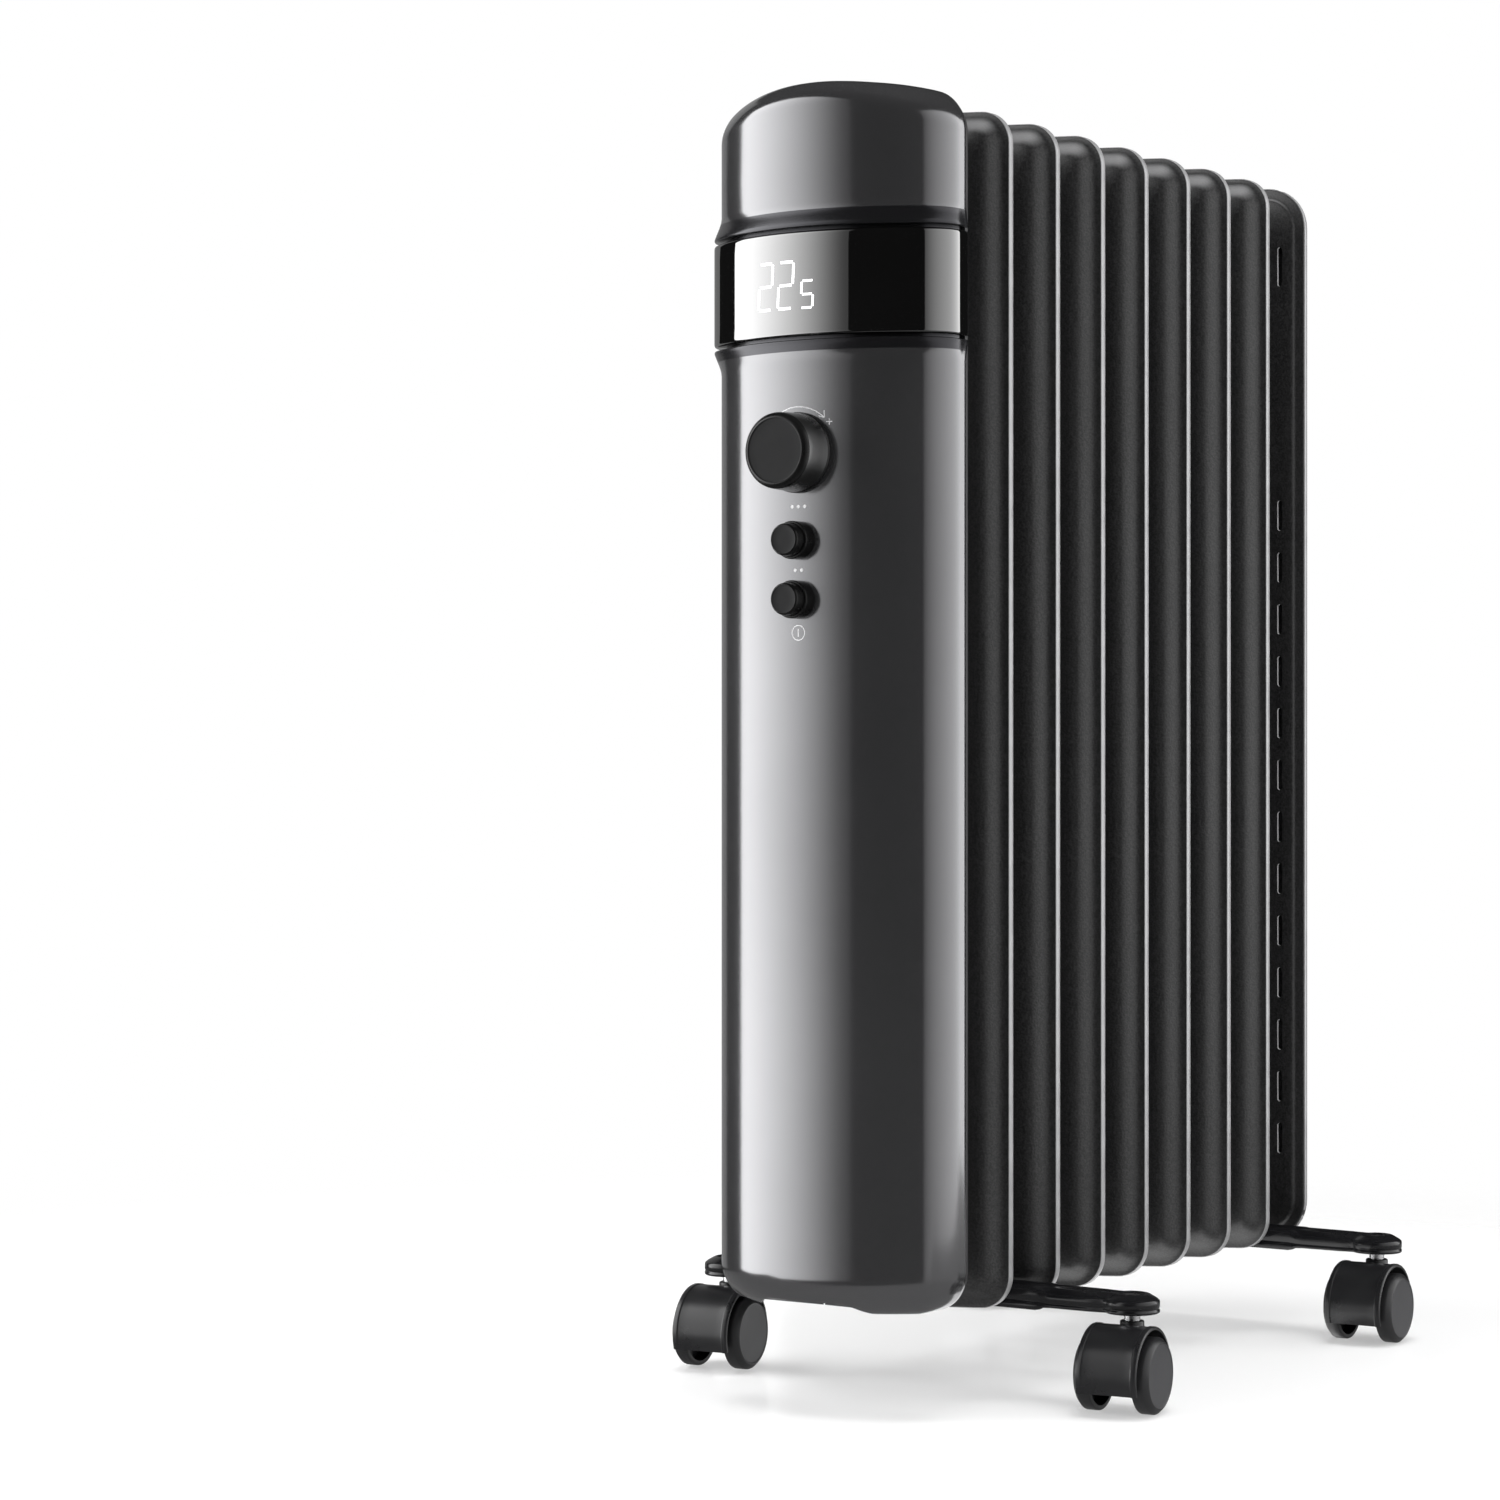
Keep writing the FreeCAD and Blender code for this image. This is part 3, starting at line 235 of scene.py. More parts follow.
PAINTS = {
    # core_paint's last tone is a painted highlight on upward-facing parts, standing in for the overhead light on
    # the elements' top shoulders.
    "core_paint": dict(dark=(0.0075, 0.0075, 0.0077), light=(0.029, 0.029, 0.0295), roughness=0.4,
                       speckled=True, grain=0.4, grain_scale=1000, scale=25, ior=1.68,
                       top_highlight=(0.15, 0.15, 0.152)),
    # Painted highlight: lighter paint on the elements' hem edges and the rear cover's rim, standing in for the
    # light they catch.
    "core_edge_highlight": dict(dark=(0.30, 0.30, 0.305), light=(0.38, 0.38, 0.385), roughness=0.4,
                      metallic=0.4, grain=0.12, grain_scale=1100, scale=60),
    # Painted highlight: light grey on the slot walls, standing in for the light they catch.
    "slot_wall_highlight": dict(dark=(0.66, 0.66, 0.665), light=(0.76, 0.76, 0.765), roughness=0.4,
                      metallic=0.2, grain=0.12, grain_scale=1100, scale=60),
    "housing_paint": dict(dark=(0.158, 0.158, 0.163), light=(0.172, 0.172, 0.177), roughness=0.14,
                          metallic=0.84, scale=9, spread=0.012, grain=0.02, grain_scale=5000, coat=0.2,
                          coat_roughness=0.05),
    # Painted shade: darker paint on the flared lips beside the display band.
    "housing_lip_shade": dict(dark=(0.045, 0.045, 0.049), light=(0.052, 0.052, 0.056), roughness=0.2,
                        metallic=0.85, scale=9, spread=0.02, grain=0.02, grain_scale=5000),
    "display_gloss": dict(dark=(0.001, 0.001, 0.001), light=(0.002, 0.002, 0.002), roughness=0.03,
                          scale=14, spread=0.006, ior=2.75),
    "dial_black": dict(dark=(0.003, 0.003, 0.003), light=(0.005, 0.005, 0.005), roughness=0.3,
                       grain=0.04, grain_scale=2600, scale=60, ior=2.4),
    "control_black": dict(dark=(0.004, 0.004, 0.004), light=(0.007, 0.007, 0.007), roughness=0.28,
                          grain=0.04, grain_scale=2600, scale=60, ior=1.33),
    "control_face": dict(dark=(0.010, 0.010, 0.0105), light=(0.014, 0.014, 0.0145), roughness=0.45,
                         grain=0.05, grain_scale=2600, scale=60, ior=1.22),
    "bar_paint": dict(dark=(0.007, 0.007, 0.008), light=(0.011, 0.011, 0.012), roughness=0.24,
                      grain=0.05, grain_scale=900, scale=30),
    "caster_plastic": dict(dark=(0.010, 0.010, 0.011), light=(0.015, 0.015, 0.016), roughness=0.3,
                           grain=0.06, grain_scale=2200, scale=50),
    "wheel_plastic": dict(dark=(0.012, 0.012, 0.013), light=(0.018, 0.018, 0.019), roughness=0.4,
                          grain=0.08, grain_scale=2200, scale=50),
    "wheel_face": dict(dark=(0.034, 0.034, 0.037), light=(0.042, 0.042, 0.045), roughness=0.42,
                       grain=0.06, grain_scale=2200, scale=50),
    "inner_plastic": dict(dark=(0.018, 0.018, 0.019), light=(0.026, 0.026, 0.027), roughness=0.5,
                          grain=0.15, grain_scale=1600, scale=45),
    "gland_black": dict(dark=(0.008, 0.008, 0.008), light=(0.012, 0.012, 0.012), roughness=0.5,
                        grain=0.1, grain_scale=1500, scale=60),
    "circuit_board": dict(dark=(0.004, 0.05, 0.018), light=(0.01, 0.09, 0.03), roughness=0.35,
                          grain=0.1, grain_scale=700, scale=160),
    "steel_plain": dict(dark=(0.50, 0.50, 0.51), light=(0.66, 0.66, 0.67), roughness=0.28,
                        metallic=1.0, scale=120, grain=0.06, grain_scale=900, stretch=(1, 1, 6)),
    "heater_sheath": dict(dark=(0.30, 0.28, 0.26), light=(0.42, 0.40, 0.37), roughness=0.38,
                          metallic=1.0, scale=90, grain=0.05, grain_scale=900),
    "seal": dict(dark=(0.02, 0.02, 0.02), light=(0.035, 0.035, 0.035), roughness=0.7,
                 grain=0.2, grain_scale=1200, scale=80),
    "marking_white": dict(dark=(0.72, 0.72, 0.73), light=(0.82, 0.82, 0.83), roughness=0.5,
                          scale=300),
}
materials = {name: surface(name, **settings) for name, settings in PAINTS.items()}


def display_light():
    """A lit display segment: white plastic that glows."""
    material = surface("display_light", (0.85, 0.86, 0.87), (0.92, 0.93, 0.94), 0.3, scale=220)
    shader = material.node_tree.nodes["Principled BSDF"]
    shader.inputs["Emission Color"].default_value = (1, 1, 1, 1)
    shader.inputs["Emission Strength"].default_value = 1.2
    return material


materials["display_light"] = display_light()


# Control housing

PLATE_THICK = 3
back_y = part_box("mounting_plate")[1].y / MM - PLATE_THICK
housing_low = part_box("housing_body")[0].z / MM
band_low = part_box("display_band")[0].z / MM
band_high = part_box("display_band")[1].z / MM
cap_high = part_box("housing_cap")[1].z / MM
# The housing's plan: straight rear sides, side arcs of radius SIDE, and a front arc of radius FRONT.
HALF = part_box("housing_body")[1].x / MM
DEPTH = 45.4
STRAIGHT = 6
SIDE = 25
REACH = HALF - SIDE
FRONT = (REACH ** 2 + (DEPTH - STRAIGHT) ** 2 - SIDE ** 2) / (2 * (DEPTH - STRAIGHT - SIDE))
FRONT_CENTRE = FRONT - DEPTH


def housing_section():
    """Half outline of the housing from the rear edge to the nose, as (x, y, normal x, normal y)."""
    lean = math.atan2(STRAIGHT + FRONT_CENTRE, REACH)
    half = [(HALF - 2.5, 0, 1, 0), (HALF - 0.8, 0, 1, 0), (HALF - 0.25, -0.25, 1, 0), (HALF, -0.9, 1, 0),
            (HALF, -3, 1, 0)]
    for step in range(15):
        angle = -lean * step / 14
        across, along = math.cos(angle), math.sin(angle)
        half.append((REACH + SIDE * across, -STRAIGHT + SIDE * along, across, along))
    for step in range(1, 31):
        angle = -lean - (math.pi / 2 - lean) * step / 30
        across, along = math.cos(angle), math.sin(angle)
        half.append((FRONT * across, FRONT_CENTRE + FRONT * along, across, along))
    mirrored = [(-x, y, -nx, ny) for x, y, nx, ny in reversed(half[:-1])]
    return half + mirrored


SECTION = housing_section()


def housing_ring(inset, level):
    """Housing outline moved in by inset, at a height. Outward moves fade towards the rear edge."""
    ring = []
    for x, y, nx, ny in SECTION:
        amount = inset if inset > 0 else inset * (0.3 + 0.7 * smoothstep(-1, -16, y))
        ring.append((x - nx * amount, back_y + y - ny * amount, level))
    return ring


BAND_PROUD = 3.6
SEAM = 0.9
# The flared lips beside the band, as (inset, distance from the seam).
FLARE = [(2.6, -2.4), (2.6, 0.0), (-2.6, 0.0), (-3.2, 0.15), (-3.5, 0.6), (-3.45, 1.3), (-3.05, 2.4),
         (-2.5, 3.8), (-1.85, 5.4), (-1.2, 7.0), (-0.65, 8.6), (-0.22, 10.2), (0, 12)]


def flare(edge, direction):
    """Rings of a shell's flared lip, from the seam at edge outwards; direction +1 goes up, -1 down."""
    return [housing_ring(inset, edge + direction * (SEAM + rise)) for inset, rise in FLARE]


def paint_lip_shade(piece, edge, height):
    """Painted shade: a darker material on the flared lip next to the seam at edge, standing in for the shade and
    dark reflection there.
    """
    piece.data.materials.append(materials["housing_lip_shade"])
    reach = (SEAM + height) * MM + 1e-5
    for face in piece.data.polygons:
        if all(abs(piece.data.vertices[index].co.z - edge * MM) < reach for index in face.vertices):
            face.material_index = 1


FOOT_ROUND = 18
FOOT_INSET = 10
FOOT_INSET_SIDES = 9
ARCH = 5.2
ARCH_FLAT, ARCH_END = 20, 39
ROUND_STEPS = 14


def foot_lip(x):
    """Height of the housing's lower edge, arched between two lobes."""
    return housing_low + ARCH * (1 - smoothstep(ARCH_FLAT, ARCH_END, abs(x)))


def make_body():
    """Housing front from the band's lower lip to the rounded, arched foot, with the foot screw's boss."""
    rings = flare(band_low, -1)
    for level in (490, 440, 380, 320, 260, 200, 150, 110, 90):
        rings.append(housing_ring(0, level))
    for step in range(ROUND_STEPS + 1):
        ring = []
        for x, y, nx, ny in SECTION:
            rise = (foot_lip(x) - housing_low) / FOOT_ROUND
            angle = math.asin(1 - rise) * step / ROUND_STEPS
            inset = (FOOT_INSET + FOOT_INSET_SIDES * nx ** 2) * (1 - math.cos(angle))
            height = housing_low + FOOT_ROUND * (1 - math.sin(angle))
            ring.append((x - nx * inset, back_y + y - ny * inset, height))
        rings.append(ring)
    middle_y = back_y - DEPTH / 2
    last = rings[-1]
    floor = ((0.98, 0.0), (0.96, 0.15), (0.955, 1.2), (0.8, 1.2), (0.5, 1.2), (0.2, 1.2), (0.01, 1.2))
    for scale, rise in floor:
        rings.append([(x * scale, middle_y + (y - middle_y) * scale, foot_lip(x) + rise)
                      for x, y, _ in last])
    screw_y = back_y - DEPTH + 8
    boss = lathe([(56.2, 1.7), (56.2, 4.2), (56.5, 4.6), (66, 4.8)],
                 lambda along, across, up: (across, screw_y + up, along), 40)
    points, faces = join_skins(loft(rings, closed=False), boss)
    piece = sharpen(add_mesh("front_housing", points, faces, materials["housing_paint"]), 50)
    # Painted shade on the lip below the band.
    paint_lip_shade(piece, band_low, 5.4)
    return finish_piece(piece, "root", "housing_paint", "housing_body")


def make_band():
    """Glossy display band, proud of the housing."""
    steps = [(3.0, 0), (-1.6, 0), (-2.6, 0.15), (-3.2, 0.5), (-3.5, 1.1), (-BAND_PROUD, 1.9)]
    rings = [housing_ring(inset, band_high - SEAM - drop) for inset, drop in steps]
    rings += [housing_ring(-BAND_PROUD, level) for level in (565, 556, 547, 538, 529)]
    rings += [housing_ring(inset, band_low + SEAM + drop) for inset, drop in reversed(steps)]
    points, faces = loft(rings, closed=False)
    piece = sharpen(add_mesh("display_ring", points, faces, materials["display_gloss"]), 50)
    return finish_piece(piece, "root", "display_gloss", "display_band")


CAP_CORNER = 13
CAP_CORNER_SIDES = 2


def crown_drop(x, y=0.0):
    """How far the arched top lies below its highest point; y runs forward from the rear edge, negative."""
    return x ** 2 / 380 + 2.6 * smoothstep(-4, -40, y)


def make_cap():
    """Housing cap with a rounded rim and an arched top."""
    rings = flare(band_high, 1)
    rings.append(housing_ring(0, 600))
    for step in range(ROUND_STEPS + 1):
        angle = math.radians(90 * step / ROUND_STEPS)
        ring = []
        for x, y, nx, ny in SECTION:
            corner = CAP_CORNER + CAP_CORNER_SIDES * nx ** 2
            inset = corner * (1 - math.cos(angle))
            height = cap_high - crown_drop(x - nx * inset, y - ny * inset) - corner * (1 - math.sin(angle))
            ring.append((x - nx * inset, back_y + y - ny * inset, height))
        rings.append(ring)
    last = rings[-1]
    for scale in (0.9, 0.8, 0.65, 0.5, 0.3, 0.15, 0.01):
        rings.append([(x * scale, back_y + (y - back_y) * scale,
                       cap_high - crown_drop(x * scale, (y - back_y) * scale)) for x, y, _ in last])
    points, faces = loft(rings, closed=False)
    piece = sharpen(add_mesh("top_cap", points, faces, materials["housing_paint"]), 50)
    # Painted shade on the lip above the band.
    paint_lip_shade(piece, band_high, 8.6)
    return finish_piece(piece, "root", "housing_paint", "housing_cap")


def make_plate():
    """Back plate: the housing's rear outline, 1 mm smaller, with a rounded rim."""
    outline = []
    corner = 15
    foot_wide, foot_tall = 19, 18
    for step in range(37):
        x = (HALF - 1) * math.sin(math.pi / 2 * step / 36)
        short = max(corner - (HALF - 1 - x), 0)
        drop = corner - math.sqrt(max(corner ** 2 - short ** 2, 0))
        outline.append((x, cap_high - 1 - crown_drop(x) - drop))
    outline.append((HALF - 1, 400))
    outline.append((HALF - 1, 200))
    for step in range(11):
        angle = math.radians(90 * step / 10)
        outline.append((HALF - 1 - foot_wide + foot_wide * math.cos(angle),
                        housing_low + 1 + foot_tall * (1 - math.sin(angle))))
    for x in (46, 42, 38, 34, 30, 26, 22, 10, 0):
        outline.append((x, foot_lip(x) + 1))
    mirrored = [(-x, z) for x, z in reversed(outline[1:-1])]
    whole = outline + mirrored
    rings = []
    for inset, y in ((0.6, 0.0), (0, 0.0), (0, 2.4), (0.2, 2.8), (0.7, PLATE_THICK)):
        rings.append([(x * (1 - inset / HALF), back_y + y, 350 + (z - 350) * (1 - inset / 300))
                      for x, z in whole])
    points, faces = loft(rings, cap_first=True, cap_last=True)
    piece = sharpen(add_mesh("rear_plate", points, faces, materials["inner_plastic"]), 40)
    return finish_piece(piece, "root", "inner_plastic", "mounting_plate")


def on_front(x, z, proud, base=0.0):
    """Point on the housing's rounded front, a little proud of it."""
    radius = FRONT + base + proud
    return (x * radius / FRONT, back_y + FRONT_CENTRE - math.sqrt(radius ** 2 - (x * radius / FRONT) ** 2), z)


# Radiator core

ELEMENT_HALF = 65
ELEMENT_LOW, ELEMENT_HIGH = 44.4, 640
ELEMENT_CORNER = 17
# Radius of the crowned ends, and the heights of the two headers.
CROWN = 700
HEADERS = (104.4, 580.0)
# One half of a pressed element, as (inset from the outline, distance from the middle plane).
ELEMENT_STEPS = [(0.0, 1.75), (0.1, 1.95), (0.35, 2.08), (1.1, 2.15), (2.4, 2.4), (3.6, 2.95), (4.8, 3.85),
                 (6.0, 5.15), (7.2, 6.5), (8.4, 7.75), (9.6, 8.8), (11.0, 9.7), (12.6, 10.3), (14.6, 10.75),
                 (17.6, 10.95), (20.0, 11.0), (27.0, 11.0)]
EDGE_STEPS = 3


def core_outline(inset, corner, steps_corner=12, steps_crown=24):
    """Element outline: straight sides, crowned ends and round corners, as (x, z)."""
    half = ELEMENT_HALF - inset
    low, high, crown = ELEMENT_LOW + inset, ELEMENT_HIGH - inset, CROWN - inset
    rise = math.sqrt((crown - corner) ** 2 - (half - corner) ** 2)
    lean = math.atan2(rise, half - corner)
    side = half - corner
    top = high - crown + rise
    points = []
    for step in range(steps_corner + 1):
        angle = lean * step / steps_corner
        points.append((side + corner * math.cos(angle), top + corner * math.sin(angle)))
    for step in range(1, steps_crown):
        angle = lean + (math.pi - 2 * lean) * step / steps_crown
        points.append((crown * math.cos(angle), high - crown + crown * math.sin(angle)))
    for step in range(steps_corner + 1):
        angle = math.pi - lean + lean * step / steps_corner
        points.append((-side + corner * math.cos(angle), top + corner * math.sin(angle)))
    lower = [(x, low + high - z) for x, z in reversed(points)]
    return points + lower


def core_ring(inset, y):
    """Element outline moved in by inset, at y."""
    return [(x, y, z) for x, z in core_outline(inset, max(ELEMENT_CORNER - inset, 6.5))]


def element_mesh():
    """One pressed element about its middle plane: two dished halves on a hem, and the two header stubs."""
    front = [core_ring(inset, -y) for inset, y in reversed(ELEMENT_STEPS)]
    rear = [core_ring(inset, y) for inset, y in ELEMENT_STEPS]
    plates = loft(front + rear, cap_first=True, cap_last=True)
    stub = [(10.5, 24.5), (11.2, 23.2), (12.6, 22.3), (14.5, 22.0), (22.0, 22.0), (22.7, 21.6), (23.0, 20.9)]
    skins = [plates]
    for height in HEADERS:
        for side in (-1, 1):
            skins.append(lathe(stub, lambda along, across, up, side=side, height=height:
                               (across, side * along, height + up), count=48))
    return join_skins(*skins)


def paint_edge_highlight(piece):
    """Painted highlight: give the thin outer edge of an element its own, lighter material, standing in for the
    bright light on the hem.
    """
    piece.data.materials.append(materials["core_edge_highlight"])
    thickness = ELEMENT_STEPS[EDGE_STEPS][1] * MM
    for face in piece.data.polygons:
        if all(abs(piece.data.vertices[index].co.y) < thickness - 1e-7 for index in face.vertices):
            face.material_index = 1


def make_elements():
    """Seven elements that share one mesh."""
    first = add_mesh("core_panel_1", *element_mesh(), materials["core_paint"])
    # Painted highlight on the hem edges.
    paint_edge_highlight(first)
    sharpen(first, 50)
    for number in range(1, 8):
        node = f"element_{number}"
        low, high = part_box(node)
        piece = first if number == 1 else bpy.data.objects.new(f"core_panel_{number}", first.data)
        if number > 1:
            bpy.context.scene.collection.objects.link(piece)
        piece.location = (0, (low.y + high.y) / 2, 0)
        finish_piece(piece, "root", "core_paint", node)


COVER_CORNER = 24
COVER_RIM = 2.2
# Past these limits, a face of the cover belongs to its outer rim.
RIM_X, RIM_LOW, RIM_HIGH = 64, 62, 622
SLOT_X = 50.6
SLOT_RADIUS = 1.5
SLOT_PITCH = 29.2
SLOT_LENGTH, TOP_SLOT_LENGTH = 17, 22
SLOT_HEIGHTS = [103.5 + SLOT_PITCH * index for index in range(13)]
TOP_SLOT_HEIGHT = 594


def is_rim(face, mesh):
    """Whether a face of the rear cover is the folded edge of its outer rim."""
    middle = face.center / MM
    outer = abs(middle.x) > RIM_X or middle.z > RIM_HIGH or middle.z < RIM_LOW
    edge = all(-1.25 * MM < mesh.vertices[index].co.y < 1.35 * MM for index in face.vertices)
    return outer and edge and abs(face.normal.y) < 0.3


def is_slot_wall(face):
    """Whether a face of the rear cover is the wall of a slot."""
    beside = abs(abs(face.center.x) - SLOT_X * MM) < (SLOT_RADIUS + 0.1) * MM
    return beside and abs(face.normal.y) < 0.5 and face.center.z > 0.09


def slot_cutter():
    """Two rows of upright slots with a lone one above each."""
    cutters = []
    slots = [(height, SLOT_LENGTH) for height in SLOT_HEIGHTS] + [(TOP_SLOT_HEIGHT, TOP_SLOT_LENGTH)]
    for side in (-1, 1):
        for middle, length in slots:
            straight = length / 2 - SLOT_RADIUS
            ring = []
            for step in range(24):
                angle = math.tau * step / 24
                end = straight if math.sin(angle) >= 0 else -straight
                ring.append((side * SLOT_X + SLOT_RADIUS * math.cos(angle),
                             middle + SLOT_RADIUS * math.sin(angle) + end))
            cutters.append(loft([[(x, y, z) for x, z in ring] for y in (-8, 6)],
                                cap_first=True, cap_last=True))
    return add_mesh("slot_cutter", *join_skins(*cutters), materials["core_paint"])


def make_cover():
    """Rear cover: folded rim, contour step and raised field, with two rows of slots cut through."""
    steps = [(1.6, COVER_RIM), (0.5, COVER_RIM), (0.1, 1.9), (0.0, 1.3), (0.0, -1.2), (0.15, -1.7),
             (0.6, -2.1), (1.2, -2.2), (4.9, -2.25), (5.6, -2.5), (6.2, -3.1), (6.8, -3.5), (7.6, -3.7),
             (16, -3.7), (30, -3.7)]
    rings = []
    for inset, y in steps:
        rings.append([(x, y, z) for x, z in core_outline(inset, max(COVER_CORNER - inset, 6))])
    shell = loft(rings, cap_last=True)
    piece = add_mesh("rear_panel", *shell, materials["core_paint"])
    piece.location = (0, (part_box("rear_cover")[1].y - COVER_RIM * MM), 0)

    solid = piece.modifiers.new("thickness", "SOLIDIFY")
    solid.thickness = 1.5 * MM
    solid.offset = -1

    tool = slot_cutter()
    tool.location = piece.location
    cut = piece.modifiers.new("slots", "BOOLEAN")
    cut.object = tool
    cut.operation = "DIFFERENCE"
    cut.solver = "EXACT"
    bpy.context.view_layer.update()
    shaped = bpy.data.meshes.new_from_object(piece.evaluated_get(bpy.context.evaluated_depsgraph_get()))
    piece.modifiers.clear()
    piece.data = shaped
    bpy.data.objects.remove(tool)
    # Painted highlight: the cover's rim gets the lighter edge material, standing in for the light it catches.
    piece.data.materials.append(materials["core_edge_highlight"])
    # Painted highlight: the slot walls get a light grey material, standing in for the light they catch.
    piece.data.materials.append(materials["slot_wall_highlight"])
    for face in piece.data.polygons:
        if is_rim(face, piece.data):
            face.material_index = 1
        if is_slot_wall(face):
            face.material_index = 2
    sharpen(piece, 40)
    return finish_piece(piece, "root", "core_paint", "rear_cover")


# Controls


def make_knob():
    """Knob with a lipped skirt and a plain, sunken face."""
    low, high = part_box("knob")
    height = (low.z + high.z) / 2 / MM
    front = low.y / MM

    def place(along, across, up):
        return (across, front + along, height + up)

    front_lip, back_lip = 3, 17.6
    skirt = [(20, 17.0), (20, 18.9), (19.7, 19.3), (19.2, 19.5), (18.4, 19.5), (18.0, 19.2),
             (back_lip, 19.1), (12, 18.85), (6, 18.6), (front_lip, 18.45), (2.2, 18.3), (1.6, 18.0),
             (0.9, 17.3), (0.35, 16.6), (0.05, 16.0), (0.0, 15.7)]
    face = [(0.0, 15.7), (0.15, 15.45), (0.35, 15.2), (0.4, 14.8), (0.35, 10), (0.3, 5), (0.28, 0.01)]
    knob = sharpen(add_mesh("dial", *lathe(skirt, place, 96), materials["dial_black"]), 40)
    knob.data.materials.append(materials["control_black"])
    for polygon in knob.data.polygons:
        along = polygon.center.y / MM - front
        if along < front_lip or along > back_lip:
            polygon.material_index = 1
    finish_piece(knob, "knob", "control_black", "knob")
    disc = sharpen(add_mesh("dial_face", *lathe(face, place, 96), materials["control_face"]), 40)
    finish_piece(disc, "knob", "control_black")


def make_buttons():
    """Mode and power buttons, each in its bezel."""
    for label in ("mode", "power"):
        low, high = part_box(f"{label}_button")
        height = (low.z + high.z) / 2 / MM
        front = low.y / MM

        def place(along, across, up):
            return (across, front + along, height + up)

        side = [(14.5, 7.85), (1.2, 7.85), (0.6, 7.7), (0.2, 7.35), (0.0, 6.9)]
        face = [(0.0, 6.9), (0.12, 6.75), (0.2, 6.5), (0.2, 3), (0.2, 0.01)]
        button = sharpen(add_mesh(f"{label}_push", *lathe(side, place, 64), materials["control_black"]), 40)
        finish_piece(button, f"{label}_button", "control_black", f"{label}_button")
        disc = sharpen(add_mesh(f"{label}_push_face", *lathe(face, place, 64), materials["control_face"]), 40)
        finish_piece(disc, f"{label}_button", "control_black")
        rim = [(13.6, 7.95), (6.3, 7.95), (6.05, 8.1), (6.0, 8.35), (6.0, 8.6), (6.15, 9.0), (6.5, 9.2),
               (7.2, 9.25), (13.6, 9.25)]
        collar = sharpen(add_mesh(f"{label}_bezel", *lathe(rim, place, 64), materials["control_black"]), 40)
        # Both bezels are one node, which the first of them replaces.
        replaced = ["button_bezels"] if label == "mode" else []
        finish_piece(collar, "root", "control_black", *replaced)


def stroke(path, width, proud, base=0.0, closed=False):
    """Flat ribbon along (x, z) points, laid on the rounded front."""
    count = len(path)
    points = []
    for index, (x, z) in enumerate(path):
        before = path[(index - 1) % count] if closed or index > 0 else path[index]
        after = path[(index + 1) % count] if closed or index < count - 1 else path[index]
        run = Vector((after[0] - before[0], after[1] - before[1])).normalized()
        side = Vector((-run.y, run.x)) * (width / 2)
        points.append(on_front(x + side.x, z + side.y, proud, base))
        points.append(on_front(x - side.x, z - side.y, proud, base))
    faces = []
    for index in range(count if closed else count - 1):
        a = 2 * index
        b = 2 * ((index + 1) % count)
        faces.append((a, a + 1, b + 1, b))
    return points, faces


def circle_path(x, z, radius, start, end, count):
    """Points along an arc, in degrees."""
    path = []
    for step in range(count + 1):
        angle = math.radians(start + (end - start) * step / count)
        path.append((x + radius * math.cos(angle), z + radius * math.sin(angle)))
    return path


PRINT_WIDTH = 0.45
PRINT_PROUD = 0.06
RING_Z = 379.0
DOT_ROWS = ((440.0, (-3.6, 0.0, 3.6)), (409.3, (-1.8, 1.8)))


def make_markings():
    """Printed marks: the dial's arc with its arrow and plus, rows of dots, and the power ring."""
    knob_z = sum(point.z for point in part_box("knob")) / 2 / MM
    arc = circle_path(-0.5, knob_z, 22.2, 138, 48, 48)
    tip_x, tip_z = arc[-1]
    plus_x, plus_z = 16.9, knob_z + 14.4
    lines = [
        arc,
        [(tip_x - 0.2, tip_z + 3.4), (tip_x, tip_z)],
        [(tip_x - 3.2, tip_z + 0.9), (tip_x, tip_z)],
        [(plus_x - 1.5, plus_z), (plus_x + 1.5, plus_z)],
        [(plus_x, plus_z - 1.5), (plus_x, plus_z + 1.5)],
        [(0, RING_Z - 1.9), (0, RING_Z + 1.9)],
    ]
    skins = [stroke(line, PRINT_WIDTH, PRINT_PROUD) for line in lines]
    skins.append(stroke(circle_path(0, RING_Z, 3.6, 0, 352.5, 47), 0.4, PRINT_PROUD, closed=True))
    for height, offsets in DOT_ROWS:
        for offset in offsets:
            dot = circle_path(offset, height, 0.45, 0, 345, 23)
            skins.append(stroke(dot, 0.86, PRINT_PROUD, closed=True))
    piece = add_mesh("printed_marks", *join_skins(*skins), materials["marking_white"], smooth=False)
    return finish_piece(piece, "root", "marking_white")


SEGMENTS = {"2": "abged", "5": "afgcd"}


def digit(symbol, left, low, width, height, weight, lean):
    """Seven-segment figure as ribbons with short gaps at the joints."""
    middle = height / 2
    gap = weight * 0.45
    ends = {
        "a": ((gap, height), (width - gap, height)),
        "g": ((gap, middle), (width - gap, middle)),
        "d": ((gap, 0), (width - gap, 0)),
        "f": ((0, middle + gap), (0, height - gap)),
        "b": ((width, middle + gap), (width, height - gap)),
        "e": ((0, gap), (0, middle - gap)),
        "c": ((width, gap), (width, middle - gap)),
    }
    skins = []
    for key in SEGMENTS[symbol]:
        path = []
        (x0, z0), (x1, z1) = ends[key]
        for step in range(7):
            t = step / 6
            x, z = x0 + (x1 - x0) * t, z0 + (z1 - z0) * t
            path.append((left + x + lean * z, low + z))
        skins.append(stroke(path, weight, 0.05, base=BAND_PROUD))
    return skins


def make_digits():
    """Generic figures on the display: two tall and one short."""
    skins = digit("2", -21.8, 535.6, 8.2, 22.4, 1.3, 0.05)
    skins += digit("2", -9.6, 535.6, 8.2, 22.4, 1.3, 0.05)
    skins += digit("5", 3.6, 535.4, 6.2, 13.0, 1.1, 0.04)
    piece = add_mesh("display_figures", *join_skins(*skins), materials["display_light"], smooth=False)
    return finish_piece(piece, "root", "display_light")


# Feet

STEM_X = 120
BAR_TOP, BAR_LOW = 56.5, 47.0


